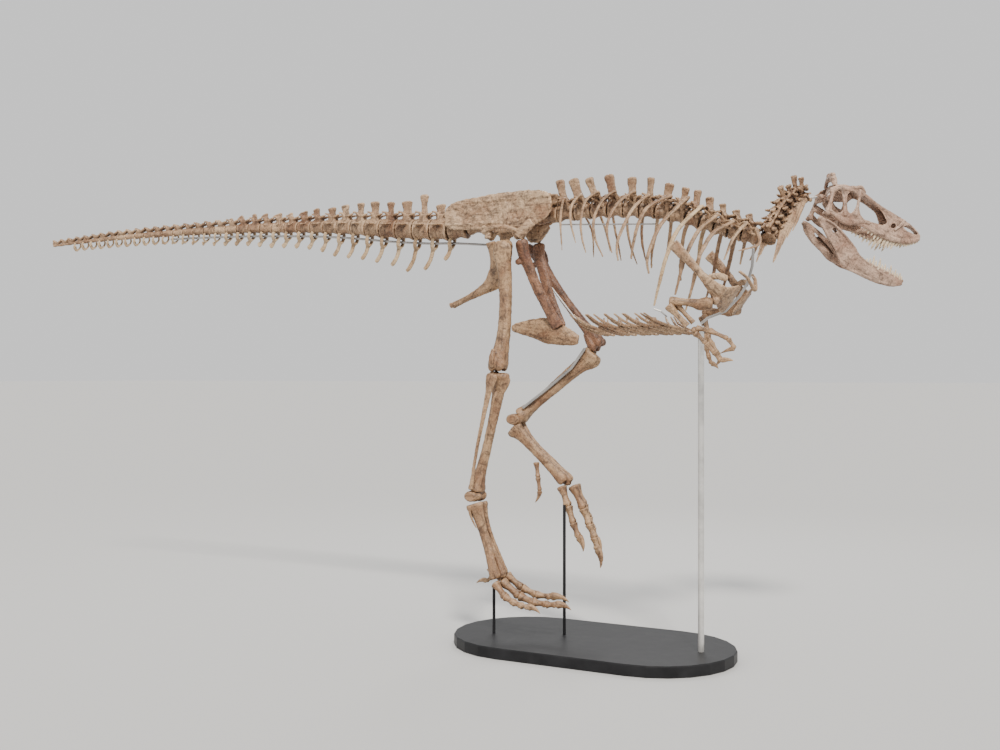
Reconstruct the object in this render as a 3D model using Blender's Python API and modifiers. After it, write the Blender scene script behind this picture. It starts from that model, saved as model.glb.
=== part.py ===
"""Mounted skeleton of a young tyrannosaurid dinosaur, running, on a black base with posts and rods.

Metres. +X runs toward the head, +Y to the animal's left, +Z up. The origin is the centre of the
base's underside. Every bone is a closed body built from overlapping lofts that are fused by a voxel
skin and then thinned to few faces. A bone's function takes side = +1 for left and -1 for right,
and its points are written with y counted outward from the midline.
"""

import math

import bmesh
import bpy
import numpy as np
from mathutils import Matrix, Vector

# ---- driving dimensions -------------------------------------------------------------------------

BASE_LENGTH = 1.70
BASE_WIDTH = 0.92
BASE_HEIGHT = 0.065
FRONT_POST_RADIUS = 0.017
FOOT_POST_RADIUS = 0.009
ROD_RADIUS = 0.008

DORSALS = 13
CAUDALS = 36
ILIUM_BACK = -0.95
ROD_DROP = 0.017
CHEVRON_ARM = 0.030
ROD_END = -3.25
ROD_START = -0.69
ROD_START_HEIGHT = 2.392
TAIL_FRONT = -0.822
TAIL_END = -4.44
GASTRALIA_ROWS = 13
MIDLINE_GAP = 0.004

# The head's frame: its origin lies midway between the two jaw joints.
HEAD_ORIGIN = (1.203, 0.482, 2.50)
HEAD_YAW = math.radians(38.0)
SKULL_PITCH = math.radians(-17.0)
JAW_PITCH = math.radians(-37.0)

# Dorsal vertebrae: x of the last one, and the distances between the last two and the first two.
LAST_DORSAL_X = -0.155
BACK_PITCH = 0.108
FRONT_PITCH = 0.074

# Centre line of the back, from the first dorsal vertebra to the last: x, z.
BACK_LINE = [(0.980, 2.345), (0.921, 2.362), (0.80, 2.402), (0.656, 2.452), (0.50, 2.502), (0.362, 2.532),
             (0.092, 2.553), (-0.15, 2.547)]
# Height of the tops of the neural spines along the back: x, z.
BACK_SPINES = [(0.90, 2.47), (0.74, 2.53), (0.656, 2.588), (0.53, 2.655), (0.35, 2.715),
               (0.24, 2.735), (0.0, 2.752), (-0.20, 2.748)]
# Centre line of the tail and of the sacrum: x, z.
TAIL_LINE = [(-0.15, 2.547), (-0.55, 2.530), (-0.83, 2.502), (-0.95, 2.496), (-1.17, 2.511),
             (-1.40, 2.530), (-1.69, 2.558), (-2.00, 2.576), (-2.53, 2.598), (-3.04, 2.606),
             (-3.42, 2.606), (-3.78, 2.604), (-4.12, 2.594), (-4.44, 2.579)]
# Height of the caudal spines above the centre line, and depth of the chevrons below it: x, size.
TAIL_SPINES = [(-0.80, 0.15), (-1.02, 0.16), (-1.10, 0.232), (-1.16, 0.215), (-1.22, 0.185),
               (-1.33, 0.168), (-1.46, 0.178), (-1.60, 0.160), (-1.67, 0.160), (-1.78, 0.133),
               (-1.95, 0.122), (-2.06, 0.104), (-2.17, 0.093), (-2.52, 0.100), (-2.75, 0.066),
               (-3.2, 0.040), (-4.44, 0.012)]
TAIL_CHEVRONS = [(-0.88, 0.17), (-0.96, 0.20), (-1.10, 0.272), (-1.20, 0.265), (-1.32, 0.231),
                 (-1.43, 0.218), (-1.54, 0.205), (-1.76, 0.193), (-1.83, 0.168), (-1.98, 0.143),
                 (-2.11, 0.132), (-2.35, 0.126), (-2.47, 0.112), (-2.87, 0.095), (-3.4, 0.05),
                 (-4.44, 0.02)]
TAIL_RADII = [(-0.83, 0.062), (-0.95, 0.068), (-1.17, 0.068), (-1.40, 0.063), (-1.69, 0.053),
              (-2.00, 0.042), (-2.53, 0.034), (-3.04, 0.026), (-3.8, 0.018), (-4.44, 0.009)]

# Neck: centres of the vertebrae from the tenth cervical up to the atlas.
NECK_LINE = [(1.026, 0.090, 2.358), (1.034, 0.134, 2.397), (1.044, 0.176, 2.438),
             (1.056, 0.226, 2.486), (1.070, 0.276, 2.530), (1.086, 0.326, 2.564),
             (1.104, 0.374, 2.588), (1.124, 0.416, 2.602)]

# Shaft of each rib, counted from the front, from its upper knuckle to its free end: x, outward, z.
RIBS = [
    [(0.996, 0.070, 2.377), (1.018, 0.110, 2.297), (0.916, 0.150, 2.261)],
    [(0.936, 0.070, 2.418), (0.880, 0.110, 2.340), (0.839, 0.150, 2.217)],
    [(0.865, 0.090, 2.426), (0.797, 0.190, 2.365), (0.755, 0.250, 2.270), (0.729, 0.270, 2.190),
     (0.687, 0.260, 2.022)],
    [(0.782, 0.090, 2.469), (0.713, 0.190, 2.380), (0.666, 0.250, 2.253), (0.645, 0.270, 2.172),
     (0.603, 0.260, 2.030)],
    [(0.690, 0.090, 2.520), (0.600, 0.200, 2.390), (0.556, 0.263, 2.240), (0.520, 0.268, 2.110),
     (0.483, 0.260, 1.974)],
    [(0.612, 0.090, 2.573), (0.503, 0.190, 2.431), (0.462, 0.250, 2.301), (0.447, 0.270, 2.219),
     (0.454, 0.260, 2.149)],
    [(0.513, 0.090, 2.591), (0.428, 0.190, 2.529), (0.393, 0.250, 2.436), (0.371, 0.270, 2.337),
     (0.350, 0.260, 2.235)],
    [(0.384, 0.090, 2.605), (0.340, 0.190, 2.528), (0.299, 0.250, 2.414), (0.271, 0.270, 2.315),
     (0.273, 0.260, 2.228)],
    [(0.300, 0.090, 2.632), (0.252, 0.190, 2.565), (0.216, 0.250, 2.469), (0.212, 0.270, 2.379),
     (0.238, 0.260, 2.273)],
    [(0.178, 0.090, 2.640), (0.148, 0.190, 2.576), (0.125, 0.250, 2.469), (0.140, 0.270, 2.361),
     (0.184, 0.260, 2.254)],
    [(0.078, 0.090, 2.645), (0.050, 0.190, 2.584), (0.046, 0.250, 2.469), (0.061, 0.270, 2.365),
     (0.081, 0.260, 2.281)],
    [(-0.030, 0.090, 2.635), (-0.033, 0.200, 2.563), (-0.015, 0.255, 2.460), (0.014, 0.250, 2.341)],
    [(-0.135, 0.090, 2.622), (-0.095, 0.220, 2.477), (-0.082, 0.225, 2.306)],
]
# The neck bends to the left, so the first left rib stands farther back than the right one.
FIRST_LEFT_RIB = [(0.952, 0.070, 2.385), (0.944, 0.112, 2.315), (0.893, 0.150, 2.235)]

BONE_TAN = (0.36, 0.24, 0.15)
BONE_BROWN = (0.28, 0.16, 0.10)
BONE_CREAM = (0.55, 0.42, 0.28)
STAND_BLACK = (0.012, 0.012, 0.013)


# ---- shared helpers -----------------------------------------------------------------------------

def clear_scene():
    for obj in list(bpy.data.objects):
        bpy.data.objects.remove(obj, do_unlink=True)


def make_collection(name):
    collection = bpy.data.collections.new(name)
    bpy.context.scene.collection.children.link(collection)
    return collection


def make_material(name, colour, roughness, metallic=0.0):
    material = bpy.data.materials.new(name)
    material.use_nodes = True
    shader = material.node_tree.nodes["Principled BSDF"]
    shader.inputs["Base Color"].default_value = (*colour, 1.0)
    shader.inputs["Roughness"].default_value = roughness
    shader.inputs["Metallic"].default_value = metallic
    material.diffuse_color = (*colour, 1.0)
    return material


def along(table, x):
    """Value of a two-column table at x, by straight lines between its rows."""
    rows = sorted(table)
    return float(np.interp(x, [row[0] for row in rows], [row[1] for row in rows]))


def smooth_rows(rows, steps):
    """Rows of a Catmull-Rom curve through the given rows, with so many steps from row to row."""
    rows = np.array(rows, dtype=float)
    if steps <= 1 or len(rows) < 3:
        return rows
    padded = np.vstack([2 * rows[0] - rows[1], rows, 2 * rows[-1] - rows[-2]])
    result = []
    for i in range(1, len(padded) - 2):
        before, start, end, after = padded[i - 1:i + 3]
        for step in range(steps):
            t = step / steps
            bend = 2 * before - 5 * start + 4 * end - after
            twist = 3 * start - before - 3 * end + after
            result.append(0.5 * (2 * start + (end - before) * t + bend * t * t + twist * t ** 3))
    result.append(rows[-1])
    return np.array(result)


class Clay:
    """Closed shapes that overlap, collected in one bmesh and fused later."""

    def __init__(self, side=1.0):
        self.mesh = bmesh.new()
        self.side = side

    def point(self, x, y, z):
        return Vector((x, self.side * y, z))

    def rings(self, rings):
        """Skins a row of rings that have the same number of points, and closes both ends."""
        rows = [[self.mesh.verts.new(self.point(*corner)) for corner in ring] for ring in rings]
        count = len(rows[0])
        for first, second in zip(rows, rows[1:]):
            for i in range(count):
                j = (i + 1) % count
                self.mesh.faces.new((first[i], first[j], second[j], second[i]))
        self.mesh.faces.new(list(reversed(rows[0])))
        self.mesh.faces.new(rows[-1])

    def loft(self, rows, up=(0.0, 0.0, 1.0), sides=8, steps=3):
        """A tube through rows of x, y, z, half width, half height. The height lies toward up."""
        rows = smooth_rows(rows, steps)
        centres = rows[:, :3]
        tangents = np.gradient(centres, axis=0)
        up = np.array(up, dtype=float)
        rings = []
        for row, tangent in zip(rows, tangents):
            tangent = tangent / np.linalg.norm(tangent)
            across = np.cross(tangent, up)
            across = across / np.linalg.norm(across)
            top = np.cross(across, tangent)
            ring = []
            for i in range(sides):
                angle = 2 * math.pi * (i + 0.5) / sides
                wide = max(row[3], 0.001) * math.cos(angle)
                high = max(row[4], 0.001) * math.sin(angle)
                ring.append(row[:3] + across * wide + top * high)
            rings.append(ring)
        self.rings(rings)

    def ball(self, centre, radii):
        """An ellipsoid with its axes along x, y and z."""
        place = Matrix.Translation(self.point(*centre)) @ Matrix.Diagonal((*radii, 1.0))
        bmesh.ops.create_uvsphere(self.mesh, u_segments=12, v_segments=8, radius=1.0, matrix=place)

    def slab(self, outline, thickness, steps=1):
        """A flat or gently warped plate: an outline of x, y, z points, thick along y."""
        points = smooth_rows(list(outline) + [outline[0]], steps)[:-1] if steps > 1 else outline
        near = [self.mesh.verts.new(self.point(x, y - thickness / 2, z)) for x, y, z in points]
        far = [self.mesh.verts.new(self.point(x, y + thickness / 2, z)) for x, y, z in points]
        count = len(near)
        faces = [self.mesh.faces.new(near), self.mesh.faces.new(list(reversed(far)))]
        for i in range(count):
            j = (i + 1) % count
            self.mesh.faces.new((near[j], near[i], far[i], far[j]))
        bmesh.ops.triangulate(self.mesh, faces=faces)

    def keep_outward(self, gap):
        """Flattens what lies past the midline onto a plane, so that a half is left."""
        for vert in self.mesh.verts:
            vert.co.y = self.side * max(self.side * vert.co.y, gap)

    def turned(self, matrix):
        """Moves everything made so far from a local frame to its place."""
        bmesh.ops.transform(self.mesh, matrix=matrix, verts=self.mesh.verts)


def evaluated_copy(obj):
    """The object's mesh as its modifiers leave it."""
    graph = bpy.context.evaluated_depsgraph_get()
    return bpy.data.meshes.new_from_object(obj.evaluated_get(graph))


def keep_largest_body(mesh):
    """Removes loose crumbs, so that a single closed body is left."""
    work = bmesh.new()
    work.from_mesh(mesh)
    work.faces.ensure_lookup_table()
    unseen = set(work.faces)
    bodies = []
    while unseen:
        body = set()
        front = [next(iter(unseen))]
        while front:
            face = front.pop()
            if face not in unseen:
                continue
            unseen.discard(face)
            body.add(face)
            front.extend(other for edge in face.edges for other in edge.link_faces if other in unseen)
        bodies.append(body)
    largest = max(bodies, key=len)
    extra = [face for body in bodies if body is not largest for face in body]
    bmesh.ops.delete(work, geom=extra, context="FACES")
    work.to_mesh(mesh)
    work.free()


def skin(name, clay, voxel):
    """Turns clay into one object whose mesh is a fine voxel skin over all its shapes."""
    bmesh.ops.recalc_face_normals(clay.mesh, faces=clay.mesh.faces)
    mesh = bpy.data.meshes.new(name)
    clay.mesh.to_mesh(mesh)
    clay.mesh.free()
    obj = bpy.data.objects.new(name, mesh)
    BONES.objects.link(obj)
    remesh = obj.modifiers.new("skin", "REMESH")
    remesh.mode = "VOXEL"
    remesh.voxel_size = voxel
    bake(obj)
    return obj


def bake(obj):
    """Replaces the object's mesh by what its modifiers make of it, as one closed body."""
    result = evaluated_copy(obj)
    obj.modifiers.clear()
    keep_largest_body(result)
    obj.data = result


def thin(obj, triangles, material):
    """Thins the skin to about so many triangles."""
    faces = sum(len(face.vertices) - 2 for face in obj.data.polygons)
    modifier = obj.modifiers.new("thin", "DECIMATE")
    modifier.ratio = min(1.0, triangles / faces)
    modifier.use_collapse_triangulate = True
    bake(obj)
    obj.data.materials.clear()
    obj.data.materials.append(material)
    return obj


def fuse(name, clay, voxel, triangles, material):
    return thin(skin(name, clay, voxel), triangles, material)


def add_cutter(name, mesh_maker):
    """A hidden helper solid that a Boolean reads."""
    work = bmesh.new()
    mesh_maker(work)
    mesh = bpy.data.meshes.new(name)
    work.to_mesh(mesh)
    work.free()
    cutter = bpy.data.objects.new(name, mesh)
    CUTTERS.objects.link(cutter)
    cutter.hide_render = True
    cutter.display_type = "WIRE"
    return cutter


def cut(obj, cutter, operation="DIFFERENCE"):
    modifier = obj.modifiers.new(cutter.name, "BOOLEAN")
    modifier.operation = operation
    modifier.solver = "EXACT"
    modifier.object = cutter


def side_name(side):
    return "left" if side > 0 else "right"


def head_matrix(pitch):
    """From the head's frame (x forward, y left, z up) to the skeleton's."""
    turn = Matrix.Rotation(HEAD_YAW, 4, "Z") @ Matrix.Rotation(-pitch, 4, "Y")
    return Matrix.Translation(Vector(HEAD_ORIGIN)) @ turn


# ---- skull and jaws -----------------------------------------------------------------------------

# Cross sections of the skull: distance forward, bottom, top, half width low, half width at the roof.
SKULL_SECTIONS = [(-0.014, 0.012, 0.160, 0.118, 0.074), (0.02, -0.010, 0.188, 0.124, 0.080),
                  (0.06, -0.024, 0.202, 0.127, 0.084), (0.115, -0.027, 0.206, 0.124, 0.080),
                  (0.165, -0.010, 0.209, 0.112, 0.070), (0.20, 0.000, 0.201, 0.101, 0.058),
                  (0.26, 0.000, 0.185, 0.086, 0.044), (0.32, -0.013, 0.172, 0.075, 0.036),
                  (0.40, -0.016, 0.156, 0.063, 0.031), (0.48, -0.008, 0.141, 0.051, 0.027),
                  (0.54, 0.010, 0.126, 0.042, 0.024), (0.59, 0.036, 0.104, 0.031, 0.020),
                  (0.618, 0.058, 0.084, 0.018, 0.013)]
# Openings in each side of the skull, as tilted ellipses: centre, radii, tilt.
SKULL_OPENINGS = {
    "orbit": ((0.120, 0.116), (0.029, 0.056), 0.15),
    "antorbital": ((0.274, 0.112), (0.088, 0.046), 0.30),
    "temporal": ((0.040, 0.088), (0.024, 0.054), 0.0),
    "naris": ((0.540, 0.098), (0.044, 0.012), 0.22),
    "maxillary": ((0.425, 0.081), (0.017, 0.013), 0.1),
}
# Teeth that are shown: place along the jaw, length.
UPPER_TEETH = [(0.330, 0.034), (0.390, 0.052), (0.433, 0.054), (0.475, 0.040), (0.555, 0.028)]
LOWER_TEETH = [(0.394, 0.046), (0.437, 0.048), (0.478, 0.036), (0.520, 0.040), (0.571, 0.026)]


def skull_ring(forward, bottom, top, low, high):
    height = top - bottom
    half = [(0.35 * low, bottom), (low, bottom + 0.05 * height), (low, bottom + 0.35 * height),
            (0.5 * (low + high), bottom + 0.72 * height), (high, top - 0.07 * height),
            (0.4 * high, top)]
    right = [(forward, -y, z) for y, z in half]
    left = [(forward, y, z) for y, z in reversed(half)]
    return right + left


def ellipse_prism(centre, radii, turn, reach):
    """Makes a cutter that runs across the head, as a tilted ellipse in its side view."""
    def make(work):
        place = Matrix.Translation(Vector(centre)) @ Matrix.Rotation(turn, 4, "Y")
        place = place @ Matrix.Rotation(math.pi / 2, 4, "X") @ Matrix.Diagonal((*radii, 1.0, 1.0))
        bmesh.ops.create_cone(work, cap_ends=True, segments=8, radius1=1.0, radius2=1.0,
                              depth=reach, matrix=head_matrix(SKULL_PITCH) @ place)
    return make


def add_skull():
    clay = Clay()
    clay.rings([skull_ring(*section) for section in SKULL_SECTIONS])
    clay.loft([(0.012, -0.062, 0.182, 0.012, 0.014), (0.000, -0.034, 0.224, 0.013, 0.026),
               (-0.004, 0.0, 0.230, 0.014, 0.028), (0.000, 0.034, 0.224, 0.013, 0.026),
               (0.012, 0.062, 0.182, 0.012, 0.014)], up=(0, 0.05, 1), sides=6)
    for side in (-1, 1):
        clay.loft([(-0.004, side * 0.100, 0.110, 0.016, 0.014), (-0.006, side * 0.107, 0.045, 0.016, 0.014),
                   (-0.013, side * 0.109, 0.002, 0.028, 0.016)], up=(1, 0, 0), sides=6)
        clay.ball((0.160, side * 0.066, 0.212), (0.024, 0.014, 0.014))
        for forward, length in UPPER_TEETH:
            half = along([(s[0], s[3]) for s in SKULL_SECTIONS], forward) - 0.008
            root = along([(s[0], s[1]) for s in SKULL_SECTIONS], forward)
            clay.loft([(forward, side * half, root + 0.015, 0.006, 0.010),
                       (forward - 0.2 * length, side * half, root - length, 0.003, 0.004)],
                      up=(1, 0, 0), sides=4)
    clay.ball((-0.022, 0.0, 0.112), (0.018, 0.018, 0.018))
    clay.turned(head_matrix(SKULL_PITCH))
    skull = fuse("skull", clay, 0.005, 400, BONE_SKULL)
    for name, ((forward, height), radii, turn) in SKULL_OPENINGS.items():
        half = along([(s[0], s[3]) for s in SKULL_SECTIONS], forward)
        depth = 0.55 * half
        for side in (-1, 1):
            centre = (forward, side * (half + 0.05 - depth / 2), height)
            cutter = add_cutter("cut_%s_%s" % (name, side_name(side)),
                                ellipse_prism(centre, radii, turn, depth + 0.10))
            cut(skull, cutter)
    return skull


# Mandible in the jaw's frame: forward, bottom, top, outward, half thickness.
JAW_SECTIONS = [(-0.030, -0.060, -0.036, 0.108, 0.014), (0.000, -0.076, -0.026, 0.116, 0.015),
                (0.035, -0.092, -0.022, 0.120, 0.012), (0.09, -0.112, -0.022, 0.119, 0.010),
                (0.150, -0.132, -0.028, 0.113, 0.010), (0.21, -0.162, -0.036, 0.105, 0.010),
                (0.250, -0.167, -0.043, 0.098, 0.010), (0.295, -0.166, -0.056, 0.089, 0.011),
                (0.366, -0.138, -0.050, 0.074, 0.012), (0.445, -0.113, -0.026, 0.056, 0.012),
                (0.520, -0.080, -0.004, 0.040, 0.011), (0.587, -0.044, 0.014, 0.024, 0.010),
                (0.622, -0.012, 0.024, 0.012, 0.008)]
# The left half of the jaw is shallower at its middle: forward, how much its lower edge is raised.
LEFT_JAW_LIFT = [(0.0, 0.0), (0.09, 0.008), (0.15, 0.020), (0.21, 0.036), (0.25, 0.044), (0.295, 0.044),
                 (0.366, 0.036), (0.445, 0.024), (0.52, 0.010), (0.60, 0.0)]


def add_mandible(side):
    clay = Clay(side)
    rings = []
    for forward, bottom, top, outward, thick in JAW_SECTIONS:
        if side > 0:
            bottom += along(LEFT_JAW_LIFT, forward)
        rings.append([(forward, outward - thick, bottom + 0.008), (forward, outward, bottom),
                      (forward, outward + thick, bottom + 0.012), (forward, outward + thick, top - 0.010),
                      (forward, outward, top), (forward, outward - thick, top - 0.008)])
    clay.rings(rings)
    for forward, length in LOWER_TEETH:
        top = along([(s[0], s[2]) for s in JAW_SECTIONS], forward)
        outward = along([(s[0], s[3]) for s in JAW_SECTIONS], forward)
        clay.loft([(forward, outward, top - 0.015, 0.006, 0.009),
                   (forward - 0.4 * length, outward, top + length, 0.003, 0.003)], up=(1, 0, 0), sides=4)
    clay.turned(head_matrix(JAW_PITCH))
    return fuse("mandible_" + side_name(side), clay, 0.005, 220, BONE_SKULL)


# ---- backbone -----------------------------------------------------------------------------------

def spine_and_arch(clay, centre, forward, up, radius, rise, length, thick, lean):
    """Neural arch and spine as one upright loft. Its length lies along the back."""
    centre = np.array(centre)
    forward = np.array(forward)
    up = np.array(up)
    rows = []
    for share, long_share, wide in ((0.2, 0.8, 2.2), (0.42, 0.62, 1.3), (0.75, 0.8, 0.8), (1.0, 1.0, 1.25)):
        place = centre + up * (radius * 0.3 + (rise - radius * 0.3) * share) - forward * lean * share
        rows.append((*place, thick * wide, 0.5 * length * long_share))
    clay.loft(rows, up=forward, sides=6, steps=1)


def centrum(clay, centre, forward, length, radius, sides=8):
    """A spool: two wide ends and a waist."""
    centre = np.array(centre)
    rows = []
    for share, wide in ((-0.5, 1.0), (-0.36, 1.0), (0.0, 0.74), (0.36, 1.0), (0.5, 1.0)):
        rows.append((*(centre + forward * length * share), radius * wide, radius * wide))
    clay.loft(rows, sides=sides, steps=1)


# Height of each neck spine and length of each neck rib, from the tenth cervical up to the atlas.
NECK_SPINES = [0.082, 0.088, 0.094, 0.100, 0.138, 0.108, 0.140, 0.118]
NECK_RIBS = [0.0, 0.0, 0.175, 0.200, 0.225, 0.240, 0.235, 0.0]


def add_neck():
    clay = Clay()
    line = np.array(NECK_LINE)
    tangents = np.gradient(line, axis=0)
    count = len(line)
    for i in range(count):
        forward = tangents[i] / np.linalg.norm(tangents[i])
        across = np.cross((0, 0, 1), forward)
        across = across / np.linalg.norm(across)
        up = np.cross(forward, across)
        share = i / (count - 1)
        length = np.linalg.norm(tangents[i]) * 1.15
        radius = 0.042 - 0.010 * share
        centrum(clay, line[i], forward, length, radius)
        spine_and_arch(clay, line[i], forward, up, radius, NECK_SPINES[i], 0.048, 0.011, -0.006)
        for side in (-1, 1):
            wing = line[i] + up * 0.035
            reach = 0.045 if i == 0 else 0.068
            clay.loft([(*wing, 0.018, 0.012), (*(wing + across * side * reach), 0.014, 0.010)],
                      sides=6, steps=1)
            if NECK_RIBS[i]:
                down = np.array((-0.12 - 0.10 * share, -0.20 - 0.42 * share, -1.0))
                down = down / np.linalg.norm(down)
                root = line[i] + across * side * 0.8 * radius
                start = line[i] + across * side * (radius + 0.014) - np.array((0.0, 0.0, 0.5 * radius))
                clay.loft([(*root, 0.012, 0.012), (*start, 0.009, 0.011),
                           (*(start + 0.4 * NECK_RIBS[i] * down), 0.006, 0.009),
                           (*(start + NECK_RIBS[i] * down), 0.004, 0.004)], up=tuple(forward), sides=5,
                           steps=1)
    return fuse("neck", clay, 0.0045, 660, BONE_PLAIN)


RIB_SIZES = [(0, 0.0105), (2, 0.0130), (5, 0.0130), (7, 0.0115), (9, 0.0100), (12, 0.0090)]
RIB_TAPER = [1.0, 1.05, 0.95, 0.80, 0.60]


def rib_shaft(number, side):
    return FIRST_LEFT_RIB if number == 0 and side > 0 else RIBS[number]


def rib_rows(number, side):
    """Rows of one rib with y outward: from its head on the backbone to the free end."""
    x = dorsal_x(number)
    z = along(BACK_LINE, x)
    shaft = rib_shaft(number, side)
    size = along(RIB_SIZES, number)
    rows = [(x + 0.010, 0.030, z + 0.015, 0.7 * size, size)]
    for place, taper in zip(shaft, RIB_TAPER):
        rows.append((*place, 0.65 * size * taper, size * taper))
    return rows


def dorsal_x(number):
    """X of a dorsal vertebra, counted from the front."""
    x = LAST_DORSAL_X
    for step in range(DORSALS - 1 - number):
        x += BACK_PITCH + (FRONT_PITCH - BACK_PITCH) * step / (DORSALS - 2)
    return x


# X of the top of each dorsal spine, counted from the front.
SPINE_TOPS = [0.900, 0.822, 0.743, 0.662, 0.593, 0.530, 0.446, 0.344, 0.238, 0.093, -0.015, -0.110, -0.200]


def add_ribcage(side):
    """One half of the back, parted from the other by a thin cut on the midline, with its ribs."""
    clay = Clay(side)
    for number in range(DORSALS):
        x = dorsal_x(number)
        pitch = BACK_PITCH + (FRONT_PITCH - BACK_PITCH) * (DORSALS - 1 - number) / (DORSALS - 1)
        z = along(BACK_LINE, x)
        slope = along(BACK_LINE, x + 0.04) - along(BACK_LINE, x - 0.04)
        forward = np.array((0.08, 0.0, slope))
        forward = forward / np.linalg.norm(forward)
        centre = (x, 0.0, z)
        if number == DORSALS - 1:
            centrum(clay, (x + 0.005, 0.0, z), forward, pitch, 0.045)
        else:
            centrum(clay, centre, forward, pitch * 1.06, 0.045)
        rise = along(BACK_SPINES, SPINE_TOPS[number]) - z
        spine_and_arch(clay, centre, (1.0, 0.0, 0.0), (0.0, 0.0, 1.0), 0.045, rise, 0.064, 0.012,
                       x - SPINE_TOPS[number])
        knuckle = rib_shaft(number, side)[0]
        clay.loft([(x, 0.0, z + 0.05, 0.018, 0.014), (knuckle[0], 0.086, knuckle[2], 0.015, 0.010)],
                  sides=6, steps=1)
        clay.loft(rib_rows(number, side), up=(1, 0, 0), sides=6, steps=3)
    clay.keep_outward(MIDLINE_GAP / 2)
    return fuse("ribcage_" + side_name(side), clay, 0.005, 920, BONE_PLAIN)


def tail_frame(x):
    z = along(TAIL_LINE, x)
    slope = along(TAIL_LINE, x + 0.05) - along(TAIL_LINE, x - 0.05)
    forward = np.array((0.10, 0.0, slope))
    forward = forward / np.linalg.norm(forward)
    return np.array((x, 0.0, z)), forward, np.array((-forward[2], 0.0, forward[0]))


def add_sacrum():
    clay = Clay()
    for number in range(5):
        x = -0.268 - 0.1215 * number
        centre, forward, up = tail_frame(x)
        centrum(clay, centre, forward, 0.118, 0.046)
        spine_and_arch(clay, centre, forward, up, 0.046, 0.125, 0.105, 0.013, 0.0)
        for side in (-1, 1):
            clay.loft([(x, 0.0, centre[2] + 0.01, 0.024, 0.02),
                       (x, side * 0.062, centre[2] + 0.02, 0.020, 0.028)], sides=6, steps=1)
    return fuse("sacrum", clay, 0.006, 230, BONE_PLAIN)


def caudal_edges():
    """X of the joints between the tail's vertebrae: long ones first, shorter toward the tip."""
    lengths = [0.124 if i < 5 else 0.112 - 0.0011 * (i - 5) for i in range(CAUDALS)]
    scale = (TAIL_FRONT - TAIL_END) / sum(lengths)
    edges = [TAIL_FRONT]
    for length in lengths:
        edges.append(edges[-1] - length * scale)
    return edges


def chevron(clay, x, bottom, drop, arm, thick, foot):
    """A forked bone below the tail: two arms that leave room for a rod, and a blade."""
    top = bottom + 0.004
    fork = bottom - min(0.060, max(0.048, 0.5 * drop))
    tip = bottom - drop
    for side in (-1, 1):
        clay.loft([(x, side * arm, top, thick, 1.2 * thick),
                   (x - 0.008, side * 0.95 * arm, fork + 0.012, thick, 1.3 * thick),
                   (x - 0.012, 0.0, fork - 0.010, 1.1 * thick, 1.5 * thick)], up=(1, 0, 0), sides=5,
                   steps=2)
    clay.loft([(x - 0.012, 0.0, fork, thick, 1.3 * thick),
               (x - 0.02, 0.0, 0.5 * (fork + tip), 0.8 * thick, 1.3 * thick),
               (x - 0.03, 0.0, tip, 0.8 * thick, foot)], up=(1, 0, 0), sides=6, steps=2)


def add_tail(name, first, last, triangles):
    clay = Clay()
    edges = caudal_edges()
    for number in range(first, last):
        front = edges[number] - (0.004 if number == first else -0.003)
        back = edges[number + 1] + (0.004 if number == last - 1 else -0.003)
        x = 0.5 * (front + back)
        centre, forward, up = tail_frame(x)
        radius = along(TAIL_RADII, x)
        length = front - back
        centrum(clay, centre, forward, length, radius)
        rise = along(TAIL_SPINES, x)
        spine_length = 0.062 if number < 14 else 0.05
        lean = 0.02 if number < 12 else 0.035
        spine_and_arch(clay, centre, forward, up, radius, rise, spine_length, 0.010, lean)
        if number < 15:
            reach = 0.15 - 0.0085 * number if x < ILIUM_BACK else 0.062
            for side in (-1, 1):
                clay.loft([(x, 0.0, centre[2] + 0.02, 0.022, 0.012),
                           (x - 0.02, side * reach, centre[2] + 0.03, 0.018, 0.008)], sides=6, steps=1)
        drop = along(TAIL_CHEVRONS, x) - radius
        if x > ROD_END:
            foot = 0.012 if number < 9 else 0.030
            chevron(clay, x - 0.30 * length, centre[2] - 0.9 * radius, drop, CHEVRON_ARM, 0.0075, foot)
        elif number < 33:
            place = (x - 0.3 * length, 0.0, centre[2] - radius)
            clay.loft([(place[0] + 0.012, 0.0, place[2], 0.007, 0.008),
                       (place[0] - 0.025, 0.0, place[2] - drop, 0.006, 0.006)],
                      sides=5, steps=1)
    return fuse(name, clay, 0.0045, triangles, BONE_PLAIN)


# ---- hips ---------------------------------------------------------------------------------------

# Outline of the hip blade: x, z.
ILIUM_OUTLINE = [(-0.944, 2.570), (-0.925, 2.628), (-0.850, 2.660), (-0.735, 2.676), (-0.598, 2.688),
                 (-0.430, 2.694), (-0.300, 2.690), (-0.236, 2.664), (-0.214, 2.610), (-0.220, 2.560),
                 (-0.250, 2.520), (-0.300, 2.498), (-0.340, 2.470), (-0.372, 2.436), (-0.390, 2.404),
                 (-0.446, 2.404), (-0.472, 2.436), (-0.520, 2.450), (-0.575, 2.434), (-0.600, 2.404),
                 (-0.640, 2.416), (-0.668, 2.462), (-0.735, 2.476), (-0.880, 2.484), (-0.930, 2.510)]


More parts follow.
